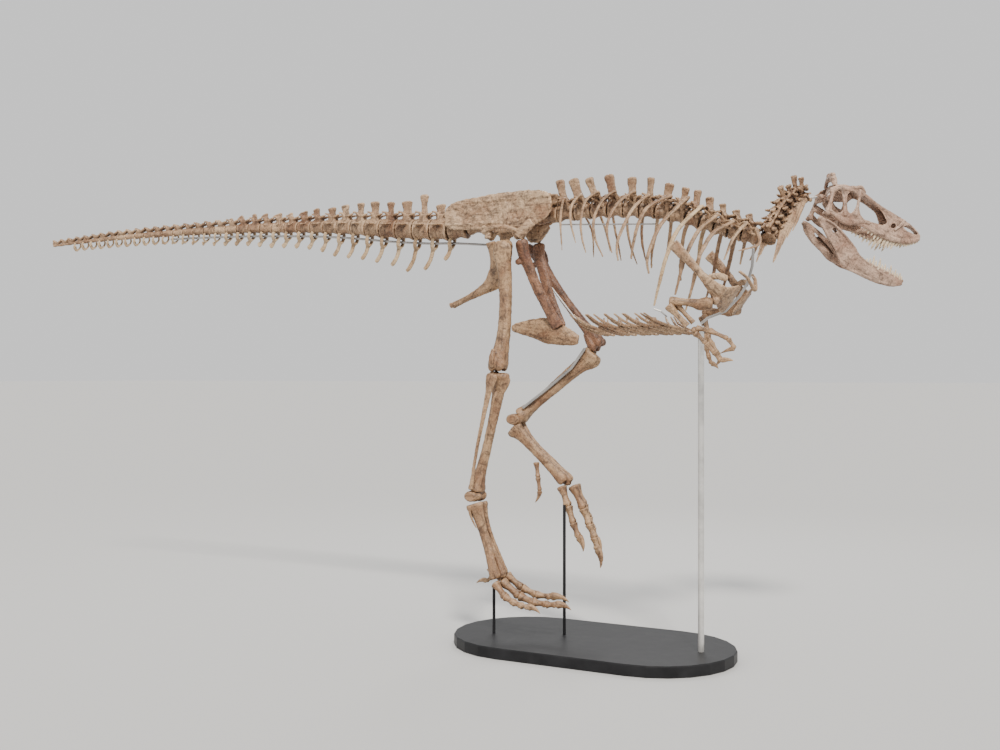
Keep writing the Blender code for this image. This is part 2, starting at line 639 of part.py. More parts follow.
def add_ilium(side):
    clay = Clay(side)
    outline = []
    for x, z in ILIUM_OUTLINE:
        bend = 0.10 * max(0.0, x + 0.34) + 0.10 * max(0.0, -0.80 - x) + 0.16 * max(0.0, 2.56 - z)
        outline.append((x, 0.072 + bend, z))
    clay.slab(outline, 0.020)
    clay.loft([(-0.385, 0.110, 2.460, 0.018, 0.028), (-0.415, 0.118, 2.418, 0.024, 0.030)], sides=6,
              steps=1)
    clay.loft([(-0.630, 0.110, 2.462, 0.018, 0.026), (-0.618, 0.118, 2.422, 0.024, 0.024)], sides=6,
              steps=1)
    clay.loft([(-0.655, 0.118, 2.452, 0.014, 0.014), (-0.530, 0.128, 2.476, 0.016, 0.014),
               (-0.440, 0.122, 2.458, 0.014, 0.014)], sides=6, steps=2)
    return fuse("ilium_" + side_name(side), clay, 0.006, 140, BONE_LIGHT)


def add_pubis():
    """Both pubes, fused along the apron, with the long boot below."""
    clay = Clay()
    for side in (-1, 1):
        clay.loft([(-0.392, side * 0.112, 2.366, 0.022, 0.034), (-0.388, side * 0.106, 2.322, 0.018, 0.030),
                   (-0.358, side * 0.092, 2.230, 0.017, 0.026), (-0.305, side * 0.066, 2.090, 0.016, 0.024),
                   (-0.250, side * 0.040, 1.975, 0.016, 0.026),
                   (-0.205, side * 0.018, 1.880, 0.017, 0.034)],
                  up=(1, 0, 0.4), sides=8, steps=2)
    clay.loft([(-0.312, 0.0, 2.075, 0.052, 0.007), (-0.260, 0.0, 1.970, 0.036, 0.008),
               (-0.215, 0.0, 1.880, 0.020, 0.010)],
              up=(1, 0, 0.4), sides=8)
    clay.loft([(-0.520, 0.0, 1.876, 0.009, 0.018), (-0.480, 0.0, 1.882, 0.013, 0.034),
               (-0.380, 0.0, 1.878, 0.019, 0.058),
               (-0.280, 0.0, 1.862, 0.024, 0.076), (-0.200, 0.0, 1.836, 0.025, 0.064),
               (-0.130, 0.0, 1.816, 0.021, 0.046),
               (-0.082, 0.0, 1.804, 0.013, 0.028)], sides=8, steps=2)
    return fuse("pubis", clay, 0.006, 240, BONE_RED)


def add_ischium(side):
    clay = Clay(side)
    clay.loft([(-0.606, 0.112, 2.388, 0.020, 0.032), (-0.600, 0.098, 2.340, 0.013, 0.028),
               (-0.598, 0.080, 2.270, 0.010, 0.030),
               (-0.612, 0.058, 2.195, 0.009, 0.044), (-0.672, 0.040, 2.140, 0.009, 0.030),
               (-0.770, 0.026, 2.094, 0.009, 0.017),
               (-0.862, 0.019, 2.056, 0.009, 0.014), (-0.940, 0.017, 2.026, 0.011, 0.016)], up=(1, 0, -0.5),
               sides=8, steps=2)
    return fuse("ischium_" + side_name(side), clay, 0.005, 90, BONE_LEG)


# ---- legs ---------------------------------------------------------------------------------------

# Joints of each leg, y outward.
LEGS = {
    -1: dict(hip=(-0.477, 0.165, 2.376), knee=(-0.498, 0.200, 1.616), ankle=(-0.672, 0.180, 0.872),
             heel=(-0.672, 0.180, 0.872), ball=(-0.528, 0.148, 0.400), knee_gap=0.022, thigh=1.0,
             fibula_back=0.0),
    1: dict(hip=(-0.477, 0.165, 2.376), knee=(-0.040, 0.250, 1.764), ankle=(-0.565, 0.140, 1.322),
            heel=(-0.592, 0.140, 1.305), ball=(-0.222, 0.150, 0.948), knee_gap=0.082, thigh=0.86,
            fibula_back=-0.040),
}


def between(start, end, share, out=0.0, ahead=(0.0, 0.0, 0.0)):
    place = np.array(start) * (1 - share) + np.array(end) * share + np.array(ahead)
    place[1] += out
    return place


def leg_front(side):
    """Unit vector across each leg bone toward its front, in the x-z plane, for thigh, shin and foot."""
    leg = LEGS[side]
    fronts = []
    for start, end in (("hip", "knee"), ("knee", "ankle"), ("heel", "ball")):
        run = np.array(leg[end]) - np.array(leg[start])
        front = np.array((-run[2], 0.0, run[0]))
        fronts.append(front / np.linalg.norm(front))
    return fronts


def bone_loft(clay, start, end, front, rows, sides=8, steps=3):
    """A long bone: rows of share, outward shift, forward shift, half width, half depth."""
    points = []
    for share, out, ahead, wide, deep in rows:
        place = between(start, end, share, out, front * ahead)
        points.append((*place, wide, deep))
    clay.loft(points, up=front, sides=sides, steps=steps)


def add_femur(side):
    clay = Clay(side)
    leg = LEGS[side]
    front = leg_front(side)[0]
    hip, knee, thigh = leg["hip"], leg["knee"], leg["thigh"]
    shaft = [(-0.008, 0.022, -0.012, 0.026, 0.036), (0.03, 0.024, -0.010, 0.034, 0.052),
             (0.10, 0.020, -0.006, 0.034, 0.052),
             (0.20, 0.010, 0.006, 0.034, 0.044), (0.38, 0.002, 0.018, 0.034, 0.038),
             (0.60, 0.0, 0.020, 0.034, 0.038),
             (0.76, 0.0, 0.012, 0.038, 0.042), (0.87, 0.0, 0.0, 0.048, 0.048),
             (0.935, 0.0, -0.004, 0.053, 0.052),
             (0.972, 0.0, -0.002, 0.044, 0.040)]
    rows = [(share, out, ahead, thigh * wide, thigh * deep) for share, out, ahead, wide, deep in shaft]
    bone_loft(clay, hip, knee, front, rows, steps=2)
    head = between(hip, knee, 0.02)
    clay.loft([(head[0], head[1] + 0.02, head[2], 0.030, 0.032),
               (head[0], head[1] - 0.030, head[2] + 0.004, 0.033, 0.034),
               (head[0], head[1] - 0.052, head[2] + 0.004, 0.020, 0.022)], sides=8)
    for out in (-0.030, 0.030):
        knob = between(hip, knee, 0.935, out, front * -0.030)
        clay.ball(knob, (0.028, 0.022, 0.030))
    bone_loft(clay, hip, knee, front, [(0.01, 0.032, 0.030, 0.010, 0.016),
                                       (0.06, 0.032, 0.042, 0.011, 0.016),
              (0.16, 0.02, 0.032, 0.009, 0.011)], sides=6)
    return fuse("femur_" + side_name(side), clay, 0.006, 200, BONE_RED if side > 0 else BONE_LEG)


def add_tibia(side):
    clay = Clay(side)
    leg = LEGS[side]
    front = leg_front(side)[1]
    knee, ankle = leg["knee"], leg["ankle"]
    gap = leg["knee_gap"]
    bone_loft(clay, knee, ankle, front, [(gap, -0.012, -0.004, 0.038, 0.056),
                                         (gap + 0.03, -0.012, 0.0, 0.043, 0.064),
              (gap + 0.09, -0.012, 0.006, 0.034, 0.050), (gap + 0.16, -0.012, 0.010, 0.027, 0.036),
              (0.34, -0.012, 0.012, 0.025, 0.030),
              (0.55, -0.010, 0.010, 0.024, 0.026), (0.75, -0.004, 0.004, 0.028, 0.026),
              (0.88, 0.0, 0.0, 0.044, 0.026),
              (0.928, 0.0, 0.0, 0.052, 0.026)], steps=2)
    bone_loft(clay, knee, ankle, front, [(gap + 0.005, -0.010, 0.044, 0.011, 0.018),
                                         (gap + 0.05, -0.010, 0.058, 0.012, 0.020),
              (gap + 0.15, -0.010, 0.036, 0.009, 0.013)], sides=6)
    return fuse("tibia_" + side_name(side), clay, 0.006, 150, BONE_LEG)


def add_fibula(side):
    clay = Clay(side)
    leg = LEGS[side]
    front = leg_front(side)[1]
    gap, back = leg["knee_gap"], leg["fibula_back"]
    bone_loft(clay, leg["knee"], leg["ankle"], front, [(gap + 0.008, 0.066, back - 0.008, 0.011, 0.030),
              (gap + 0.04, 0.068, back - 0.008, 0.012, 0.036),
              (gap + 0.14, 0.070, back - 0.010, 0.010, 0.022),
              (0.36, 0.070, back - 0.012, 0.0095, 0.014), (0.60, 0.070, 0.8 * back - 0.014, 0.0085, 0.011),
              (0.80, 0.070, 0.6 * back - 0.008, 0.008, 0.011), (0.918, 0.072, 0.4 * back, 0.009, 0.014)],
              sides=6, steps=2)
    return fuse("fibula_" + side_name(side), clay, 0.004, 80, BONE_LEG)


def add_ankle(side):
    """Astragalus with its rising plate, and the calcaneum."""
    clay = Clay(side)
    leg = LEGS[side]
    front = leg_front(side)[1]
    knee, ankle = leg["knee"], leg["ankle"]
    centre = between(knee, ankle, 0.992)
    rows = [(-0.062, 0.026, 0.022), (-0.040, 0.036, 0.030), (-0.006, 0.030, 0.025), (0.030, 0.034, 0.029),
            (0.068, 0.026, 0.022)]
    clay.loft([(centre[0], centre[1] + out, centre[2], wide, high) for out, wide, high in rows], sides=10,
              steps=2)
    bone_loft(clay, knee, ankle, front, [(0.978, 0.0, 0.026, 0.036, 0.010),
                                         (0.93, 0.004, 0.042, 0.034, 0.006),
              (0.86, 0.012, 0.044, 0.016, 0.006), (0.82, 0.014, 0.042, 0.005, 0.004)], sides=6, steps=2)
    return fuse("ankle_" + side_name(side), clay, 0.005, 110, BONE_LEG)


METATARSAL_ENDS = {2: (-0.046, 0.945, 0.008), 3: (0.0, 0.985, 0.016), 4: (0.046, 0.955, 0.004)}


def add_metatarsus(side):
    """The three long foot bones, the middle one pinched at its top, with the fifth bone's splint."""
    clay = Clay(side)
    leg = LEGS[side]
    front = leg_front(side)[2]
    heel, ball = leg["heel"], leg["ball"]
    for number, (out, share, ahead) in METATARSAL_ENDS.items():
        top = 0.56 * out
        thin = 0.010 if number == 3 else 0.024
        bone_loft(clay, heel, ball, front, [(0.088, 1.15 * top, -0.002, thin + 0.003, 0.040),
                                            (0.13, 1.15 * top, -0.002, thin, 0.042),
                  (0.30, 1.0 * top, 0.0, 0.8 * thin, 0.026),
                  (0.62 * share, 0.70 * out, 0.006, 0.018, 0.021),
                  (0.85 * share, 0.92 * out, ahead, 0.020, 0.022), (0.95 * share, out, ahead, 0.024, 0.027),
                  (share, out, ahead, 0.020, 0.022)], steps=2)
    bone_loft(clay, heel, ball, front, [(0.085, 0.050, -0.018, 0.008, 0.012),
                                        (0.22, 0.048, -0.034, 0.006, 0.008),
              (0.34, 0.038, -0.028, 0.004, 0.005)], sides=5)
    return fuse("metatarsus_" + side_name(side), clay, 0.005, 220, BONE_LEG)


# Toes, y outward: the joints of each digit, then the claw's tip.
TOES = {
    -1: {1: [(-0.630, 0.078, 0.440), (-0.618, 0.074, 0.385), (-0.655, 0.068, 0.362),
             (-0.732, 0.062, 0.338)],
         2: [(-0.506, 0.100, 0.414), (-0.410, 0.082, 0.342), (-0.325, 0.068, 0.306), (-0.235, 0.058, 0.300),
             (-0.116, 0.050, 0.276)],
         3: [(-0.512, 0.150, 0.386), (-0.395, 0.146, 0.305), (-0.305, 0.141, 0.276), (-0.225, 0.137, 0.270),
             (-0.165, 0.133, 0.272),
             (-0.066, 0.130, 0.248)],
         4: [(-0.530, 0.198, 0.378), (-0.455, 0.212, 0.306), (-0.395, 0.220, 0.280), (-0.342, 0.226, 0.268),
             (-0.296, 0.231, 0.264),
             (-0.212, 0.240, 0.234)]},
    1: {1: [(-0.398, 0.084, 1.076), (-0.384, 0.080, 0.985), (-0.372, 0.078, 0.905), (-0.404, 0.076, 0.828)],
        2: [(-0.240, 0.104, 0.936), (-0.192, 0.095, 0.820), (-0.155, 0.088, 0.722), (-0.120, 0.083, 0.645),
            (-0.088, 0.080, 0.554)],
        3: [(-0.186, 0.150, 0.938), (-0.118, 0.150, 0.805), (-0.078, 0.150, 0.712), (-0.048, 0.150, 0.635),
            (-0.028, 0.150, 0.570),
            (-0.008, 0.150, 0.452)],
        4: [(-0.192, 0.204, 0.940), (-0.138, 0.210, 0.820), (-0.108, 0.214, 0.745), (-0.084, 0.217, 0.682),
            (-0.066, 0.220, 0.624),
            (-0.040, 0.224, 0.522)]},
}
TOE_RADII = {1: 0.017, 2: 0.026, 3: 0.027, 4: 0.025}
TOE_START = 0.16


def digit(clay, joints, radius, taper, start_share=-0.02):
    """Bones of a toe or finger, wide at the joints and narrow between, ending in a claw."""
    joints = [np.array(joint) for joint in joints]
    for number, (start, end) in enumerate(zip(joints[:-2], joints[1:-1])):
        size = radius * taper ** number
        rows = []
        first = start_share if number == 0 else -0.02
        for share, wide in ((first, 0.85), (first + 0.12, 1.0), (0.5, 0.68), (0.86, 0.92), (1.02, 0.85)):
            rows.append((*(start + (end - start) * share), size * wide, size * wide))
        clay.loft(rows, sides=7, steps=1)
    start, tip = joints[-2], joints[-1]
    size = radius * taper ** (len(joints) - 2)
    arch = np.array((0.0, 0.0, 0.12 * np.linalg.norm(tip - start)))
    clay.loft([(*start, size, size * 1.05), (*(0.55 * start + 0.45 * tip + arch), 0.6 * size, 0.8 * size),
               (*tip, 0.003, 0.003)],
              sides=7, steps=2)


def add_toes(side):
    made = []
    for number, joints in TOES[side].items():
        clay = Clay(side)
        digit(clay, joints, TOE_RADII[number], 0.90, TOE_START)
        made.append(fuse("toe_%d_%s" % (number, side_name(side)), clay, 0.0035, 40 + 12 * len(joints),
                         BONE_LEG))
    return made


# ---- shoulders and arms -------------------------------------------------------------------------

def add_scapulocoracoid(side):
    """The blade with its neck, the acromion, and the coracoid, which wraps round the chest."""
    clay = Clay(side)
    clay.loft([(0.606, 0.312, 2.300, 0.011, 0.050), (0.640, 0.312, 2.266, 0.012, 0.042),
               (0.700, 0.308, 2.200, 0.013, 0.029),
               (0.752, 0.298, 2.140, 0.014, 0.024), (0.790, 0.276, 2.092, 0.014, 0.034),
               (0.822, 0.246, 2.054, 0.015, 0.050),
               (0.846, 0.214, 2.026, 0.014, 0.064)], up=(0.72, 0.10, 0.68), steps=2)
    clay.loft([(0.790, 0.264, 2.118, 0.010, 0.016), (0.832, 0.232, 2.124, 0.010, 0.020),
               (0.872, 0.194, 2.112, 0.010, 0.018)],
              up=(0.2, 0.0, 1.0), sides=6, steps=1)
    clay.loft([(0.842, 0.212, 2.024, 0.013, 0.064), (0.852, 0.178, 2.016, 0.012, 0.086),
               (0.860, 0.140, 2.010, 0.012, 0.104),
               (0.864, 0.104, 2.008, 0.012, 0.108), (0.866, 0.078, 2.010, 0.010, 0.090)],
               up=(0.605, 0.0, 0.796), sides=10, steps=2)
    clay.ball((0.820, 0.222, 2.006), (0.020, 0.018, 0.022))
    return fuse("scapulocoracoid_" + side_name(side), clay, 0.005, 140, BONE_LIGHT)


def add_furcula():
    clay = Clay()
    clay.loft([(0.915, -0.122, 2.156, 0.006, 0.009), (0.944, -0.076, 2.122, 0.007, 0.010),
               (0.964, 0.0, 2.060, 0.008, 0.013),
               (0.944, 0.076, 2.122, 0.007, 0.010), (0.915, 0.122, 2.156, 0.006, 0.009)], up=(1, 0, 0),
               sides=6)
    return fuse("furcula", clay, 0.004, 60, BONE_LIGHT)


# Arm joints, y outward: shoulder, elbow, wrist, then both fingers to the claw tips.
ARMS = {
    -1: dict(shoulder=(0.812, 0.245, 1.975), elbow=(0.580, 0.300, 1.996), wrist=(0.700, 0.270, 1.858),
             one=[(0.722, 0.262, 1.850), (0.785, 0.248, 1.838), (0.888, 0.236, 1.792),
                  (0.922, 0.230, 1.742), (0.838, 0.230, 1.712)],
             two=[(0.714, 0.262, 1.826), (0.772, 0.250, 1.770), (0.812, 0.244, 1.722),
                  (0.846, 0.240, 1.678), (0.918, 0.238, 1.674)]),
    1: dict(shoulder=(0.812, 0.245, 1.975), elbow=(0.575, 0.300, 1.960), wrist=(0.606, 0.270, 1.838),
            one=[(0.614, 0.262, 1.826), (0.640, 0.250, 1.785), (0.680, 0.242, 1.727), (0.700, 0.238, 1.694),
                 (0.668, 0.238, 1.650)],
            two=[(0.602, 0.262, 1.816), (0.612, 0.252, 1.758), (0.626, 0.246, 1.708), (0.642, 0.242, 1.668),
                 (0.686, 0.240, 1.634)]),
}


def add_arm(side):
    arm = ARMS[side]
    front = np.array((0.0, 0.0, 1.0)) if side < 0 else np.array((0.3, 0.0, 0.95))
    made = []
    clay = Clay(side)
    bone_loft(clay, arm["shoulder"], arm["elbow"], front,
              [(0.08, 0.0, 0.0, 0.026, 0.024), (0.18, 0.0, 0.004, 0.026, 0.028),
              (0.30, 0.0, -0.006, 0.018, 0.026), (0.55, 0.0, 0.0, 0.015, 0.016),
              (0.85, 0.0, 0.0, 0.022, 0.018),
              (0.935, 0.0, 0.0, 0.026, 0.020)], steps=2)
    made.append(fuse("humerus_" + side_name(side), clay, 0.004, 80, BONE_LEG))
    for name, out, rear, size, start in (("ulna", 0.015, -0.012, 0.016, 0.19),
                                         ("radius", -0.017, 0.013, 0.012, 0.27)):
        clay = Clay(side)
        forward = np.array((0.8, 0.0, 0.6))
        bone_loft(clay, arm["elbow"], arm["wrist"], forward, [(start, out, rear, size * 1.1, size * 1.2),
                  (0.45, out, rear, size * 0.75, size * 0.80), (0.90, out, rear, size * 0.95, size * 0.90)],
                  sides=6)
        made.append(fuse("%s_%s" % (name, side_name(side)), clay, 0.0035, 44, BONE_LEG))
    clay = Clay(side)
    for joints in (arm["one"], arm["two"]):
        digit(clay, joints, 0.0145, 0.92)
    wrist = between(arm["one"][0], arm["two"][0], 0.5)
    clay.ball(wrist, (0.014, 0.018, 0.015))
    made.append(fuse("hand_" + side_name(side), clay, 0.0035, 156, BONE_LEG))
    return made


def add_gastralia():
    """Rows of thin belly ribs, swept back more toward the front, whose inner ends cross on the midline."""
    clay = Clay()
    for row in range(GASTRALIA_ROWS):
        share = row / (GASTRALIA_ROWS - 1)
        x = 0.072 + 0.044 * row
        sweep = 0.060 + 0.070 * share
        for side in (-1, 1):
            clay.loft([(x - sweep, side * 0.246, 1.938, 0.0045, 0.0045),
                       (x - 0.45 * sweep, side * 0.130, 1.872, 0.0060, 0.0065),
                       (x + 0.016, side * -0.012, 1.838, 0.0065, 0.0065)], sides=5, steps=2)
    clay.loft([(0.075, 0.0, 1.838, 0.007, 0.006), (0.615, 0.0, 1.838, 0.007, 0.006)], sides=5, steps=1)
    return fuse("gastralia", clay, 0.004, 480, BONE_PLAIN)


# ---- stand --------------------------------------------------------------------------------------

def rod(name, points, radius, sides_level=2):
    """A painted steel rod: a poly curve with a round bevel and filled caps, made a mesh."""
    curve = bpy.data.curves.new(name, "CURVE")
    curve.dimensions = "3D"
    curve.bevel_depth = radius
    curve.bevel_resolution = sides_level
    curve.use_fill_caps = True
    spline = curve.splines.new("POLY")
    spline.points.add(len(points) - 1)
    for target, point in zip(spline.points, points):
        target.co = (*point, 1.0)
    guide = bpy.data.objects.new(name + "_guide", curve)
    bpy.context.scene.collection.objects.link(guide)
    mesh = evaluated_copy(guide)
    work = bmesh.new()
    work.from_mesh(mesh)
    bmesh.ops.remove_doubles(work, verts=work.verts, dist=1e-5)
    bmesh.ops.recalc_face_normals(work, faces=work.faces)
    work.to_mesh(mesh)
    work.free()
    bpy.data.objects.remove(guide, do_unlink=True)
    obj = bpy.data.objects.new(name, mesh)
    obj.data.materials.clear()
    obj.data.materials.append(STAND)
    BONES.objects.link(obj)
    return obj


def add_base():
    """A flat plate with half-round ends: an outline curve, extruded, with a small bevel."""
    work = bmesh.new()
    radius = BASE_WIDTH / 2
    centre = BASE_LENGTH / 2 - radius
    points = []
    for end in (1, -1):
        for step in range(13):
            angle = -math.pi / 2 + math.pi * step / 12
            points.append((end * (centre + radius * math.cos(angle)), end * radius * math.sin(angle)))
    floor = [work.verts.new((x, y, 0.0)) for x, y in points]
    face = work.faces.new(floor)
    raised = bmesh.ops.extrude_face_region(work, geom=[face])
    tops = [item for item in raised["geom"] if isinstance(item, bmesh.types.BMVert)]
    bmesh.ops.translate(work, verts=tops, vec=(0.0, 0.0, BASE_HEIGHT))
    bmesh.ops.recalc_face_normals(work, faces=work.faces)
    mesh = bpy.data.meshes.new("stand_base")
    work.to_mesh(mesh)
    work.free()
    obj = bpy.data.objects.new("stand_base", mesh)
    obj.data.materials.append(STAND)
    BONES.objects.link(obj)
    edge = obj.modifiers.new("edge", "BEVEL")
    edge.width = 0.006
    edge.segments = 1
    edge.limit_method = "ANGLE"
    return obj


def add_post(name, x, y, top, radius):
    bottom = BASE_HEIGHT + 0.0003
    bpy.ops.mesh.primitive_cylinder_add(vertices=16, radius=radius, depth=top - bottom,
                                        location=(x, y, 0.5 * (top + bottom)))
    post = bpy.context.object
    post.name = name
    post.data.name = name
    post.data.materials.append(STAND)
    for owner in list(post.users_collection):
        owner.objects.unlink(post)
    BONES.objects.link(post)
    return post


# Rods that hold parts of the skeleton: radius, then the points of the rod's centre line.
RODS = {
    "stand_rod_back": (0.005, [(-0.200, 0.0, 2.486), (0.392, 0.0, 2.454)]),
    "stand_rod_chest": (0.008, [(0.662, 0.0, 1.885), (0.700, 0.0, 1.915), (0.800, 0.0, 1.950),
                                (0.880, 0.0, 2.030),
                                (0.925, 0.0, 2.100), (0.950, 0.0, 2.190), (0.957, 0.0, 2.285)]),
    "stand_rod_rib": (0.005, [(0.484, -0.262, 1.958), (0.520, -0.252, 1.944), (0.548, -0.236, 1.915)]),
    "stand_rod_skull": (0.006, [(1.152, 0.448, 2.607), (1.190, 0.472, 2.612)]),
    "stand_rod_shin_left": (0.009, [(-0.118, 0.176, 1.759), (-0.203, 0.168, 1.642),
                                    (-0.346, 0.140, 1.521), (-0.497, 0.100, 1.400)]),
    "stand_rod_thigh_left": (0.006, [(-0.361, 0.120, 2.186), (-0.150, 0.168, 1.906)]),
}


def add_stand():
    add_base()
    add_post("stand_post_front", 0.662, 0.0, 1.872, FRONT_POST_RADIUS)
    add_post("stand_post_foot_right", -0.575, -0.125, 0.345, FOOT_POST_RADIUS)
    add_post("stand_post_foot_left", -0.193, 0.045, 0.83, FOOT_POST_RADIUS)
    tail = [(ROD_START, 0.0, ROD_START_HEIGHT)]
    for x in np.linspace(-0.92, ROD_END, 15):
        tail.append((x, 0.0, along(TAIL_LINE, x) - along(TAIL_RADII, x) - ROD_DROP))
    rod("stand_rod_tail", tail, ROD_RADIUS, 1)
    for name, (radius, points) in RODS.items():
        rod(name, points, radius, 1)


# ---- build --------------------------------------------------------------------------------------

clear_scene()
BONES = make_collection("mounted_skeleton")
CUTTERS = make_collection("cutters")
BONE_PLAIN = make_material("bone", BONE_TAN, 0.62)
BONE_LIGHT = make_material("bone_light", BONE_CREAM, 0.60)
BONE_SKULL = make_material("bone_skull", BONE_CREAM, 0.50)
BONE_RED = make_material("bone_red", BONE_BROWN, 0.55)
BONE_LEG = make_material("bone_leg", BONE_TAN, 0.55)
STAND = make_material("stand_paint", STAND_BLACK, 0.35)

add_skull()
add_neck()
add_sacrum()
add_tail("tail_base", 0, 10, 610)
add_tail("tail_mid", 10, 20, 510)
add_tail("tail_tip", 20, CAUDALS, 320)
add_pubis()
add_furcula()
add_gastralia()
for each_side in (-1, 1):
    add_ribcage(each_side)
    add_mandible(each_side)
    add_ilium(each_side)
    add_ischium(each_side)
    add_femur(each_side)
    add_tibia(each_side)
    add_fibula(each_side)
    add_ankle(each_side)
    add_metatarsus(each_side)
    add_toes(each_side)
    add_scapulocoracoid(each_side)
    add_arm(each_side)
add_stand()
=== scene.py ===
"""Dresses the mounted tyrannosaurid skeleton: detailed bones over the CAD nodes, with materials,
floor, light and camera.

Metres. +X runs toward the head, +Y to the animal's left, +Z up. Bones are closed lofts fused by a
voxel skin, softened, and roughened by two noise fields. Sided bones take side = +1 for left and
-1 for right, with y counted outward from the midline.
"""

import math

import bmesh
import bpy
import numpy as np
from mathutils import Matrix, Vector


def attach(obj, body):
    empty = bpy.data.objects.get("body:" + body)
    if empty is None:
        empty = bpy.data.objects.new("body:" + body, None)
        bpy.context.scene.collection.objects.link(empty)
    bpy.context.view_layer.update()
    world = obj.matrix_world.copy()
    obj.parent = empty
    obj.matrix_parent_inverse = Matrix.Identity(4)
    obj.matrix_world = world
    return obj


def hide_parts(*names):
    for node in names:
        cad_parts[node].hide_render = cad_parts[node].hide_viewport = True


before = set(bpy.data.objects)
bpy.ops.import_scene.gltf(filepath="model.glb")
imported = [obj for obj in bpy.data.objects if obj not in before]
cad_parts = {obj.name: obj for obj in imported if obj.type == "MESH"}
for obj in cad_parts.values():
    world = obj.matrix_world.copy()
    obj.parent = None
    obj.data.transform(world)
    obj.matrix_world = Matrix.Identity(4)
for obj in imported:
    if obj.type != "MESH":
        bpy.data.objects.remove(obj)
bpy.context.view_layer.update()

# ---- driving dimensions -------------------------------------------------------------------------

DORSALS = 13
SACRALS = 5
CAUDALS = 36
CHEVRONS = 33
CHEVRON_ARM = 0.030
GASTRALIA_ROWS = 13

# The head's frame: its origin lies midway between the two jaw joints.
HEAD_ORIGIN = (1.203, 0.482, 2.50)
HEAD_YAW = math.radians(38.0)
SKULL_PITCH = math.radians(-17.0)
JAW_PITCH = math.radians(-37.0)

# Dorsal vertebrae: x of the last one, and the distances between the last two and the first two.
LAST_DORSAL_X = -0.155
BACK_PITCH = 0.108
FRONT_PITCH = 0.074
# Sacral vertebrae: x of the first one, and the distance from one to the next.
FIRST_SACRAL_X = -0.268
SACRAL_PITCH = 0.1215
# Tail: x of its first joint and of its tip, and how far each chevron sits ahead of its joint.
TAIL_START_X = -0.822
TAIL_TIP_X = -4.44
CHEVRON_SHIFT = 0.012
# Belly ribs: x of the first row, and the distance from row to row.
FIRST_GASTRALIA_X = 0.072
GASTRALIA_PITCH = 0.044

# Centre line of the back from the first dorsal vertebra to the last: x, z.
BACK_LINE = [(0.980, 2.345), (0.921, 2.362), (0.80, 2.402), (0.656, 2.452), (0.50, 2.502), (0.362, 2.532),
             (0.092, 2.553), (-0.15, 2.547)]
# Height of the tops of the neural spines along the back: x, z.
BACK_SPINES = [(0.90, 2.47), (0.74, 2.53), (0.656, 2.588), (0.53, 2.655), (0.35, 2.715), (0.24, 2.735),
               (0.0, 2.752), (-0.20, 2.748)]
# Centre line of the tail and of the sacrum: x, z.
TAIL_LINE = [(-0.15, 2.547), (-0.55, 2.530), (-0.83, 2.502), (-0.95, 2.496), (-1.17, 2.511),
             (-1.40, 2.530), (-1.69, 2.558), (-2.00, 2.576), (-2.53, 2.598), (-3.04, 2.606),
             (-3.42, 2.606), (-3.78, 2.604), (-4.12, 2.594), (-4.44, 2.579)]
# Height of the caudal spines above the centre line, and depth of the chevrons below it: x, size.
TAIL_SPINES = [(-0.80, 0.15), (-1.02, 0.16), (-1.10, 0.232), (-1.16, 0.215), (-1.22, 0.185),
               (-1.33, 0.168), (-1.46, 0.178), (-1.60, 0.160), (-1.67, 0.160), (-1.78, 0.133),
               (-1.95, 0.122), (-2.06, 0.104), (-2.17, 0.093), (-2.52, 0.100), (-2.75, 0.066),
               (-3.2, 0.040), (-4.44, 0.012)]
TAIL_CHEVRONS = [(-0.88, 0.17), (-0.96, 0.20), (-1.10, 0.272), (-1.20, 0.265), (-1.32, 0.231),
                 (-1.43, 0.218), (-1.54, 0.205), (-1.76, 0.193), (-1.83, 0.168), (-1.98, 0.143),
                 (-2.11, 0.132), (-2.35, 0.126), (-2.47, 0.112), (-2.87, 0.095), (-3.4, 0.05),
                 (-4.44, 0.02)]
TAIL_RADII = [(-0.83, 0.062), (-0.95, 0.068), (-1.17, 0.068), (-1.40, 0.063), (-1.69, 0.053),
              (-2.00, 0.042), (-2.53, 0.034), (-3.04, 0.026), (-3.8, 0.018), (-4.44, 0.009)]

# Centres of the neck's vertebrae, from the tenth cervical up to the atlas.
NECK_LINE = [(1.026, 0.090, 2.358), (1.034, 0.134, 2.397), (1.044, 0.176, 2.438), (1.056, 0.226, 2.486),
             (1.070, 0.276, 2.530), (1.086, 0.326, 2.564), (1.104, 0.374, 2.588), (1.124, 0.416, 2.602)]

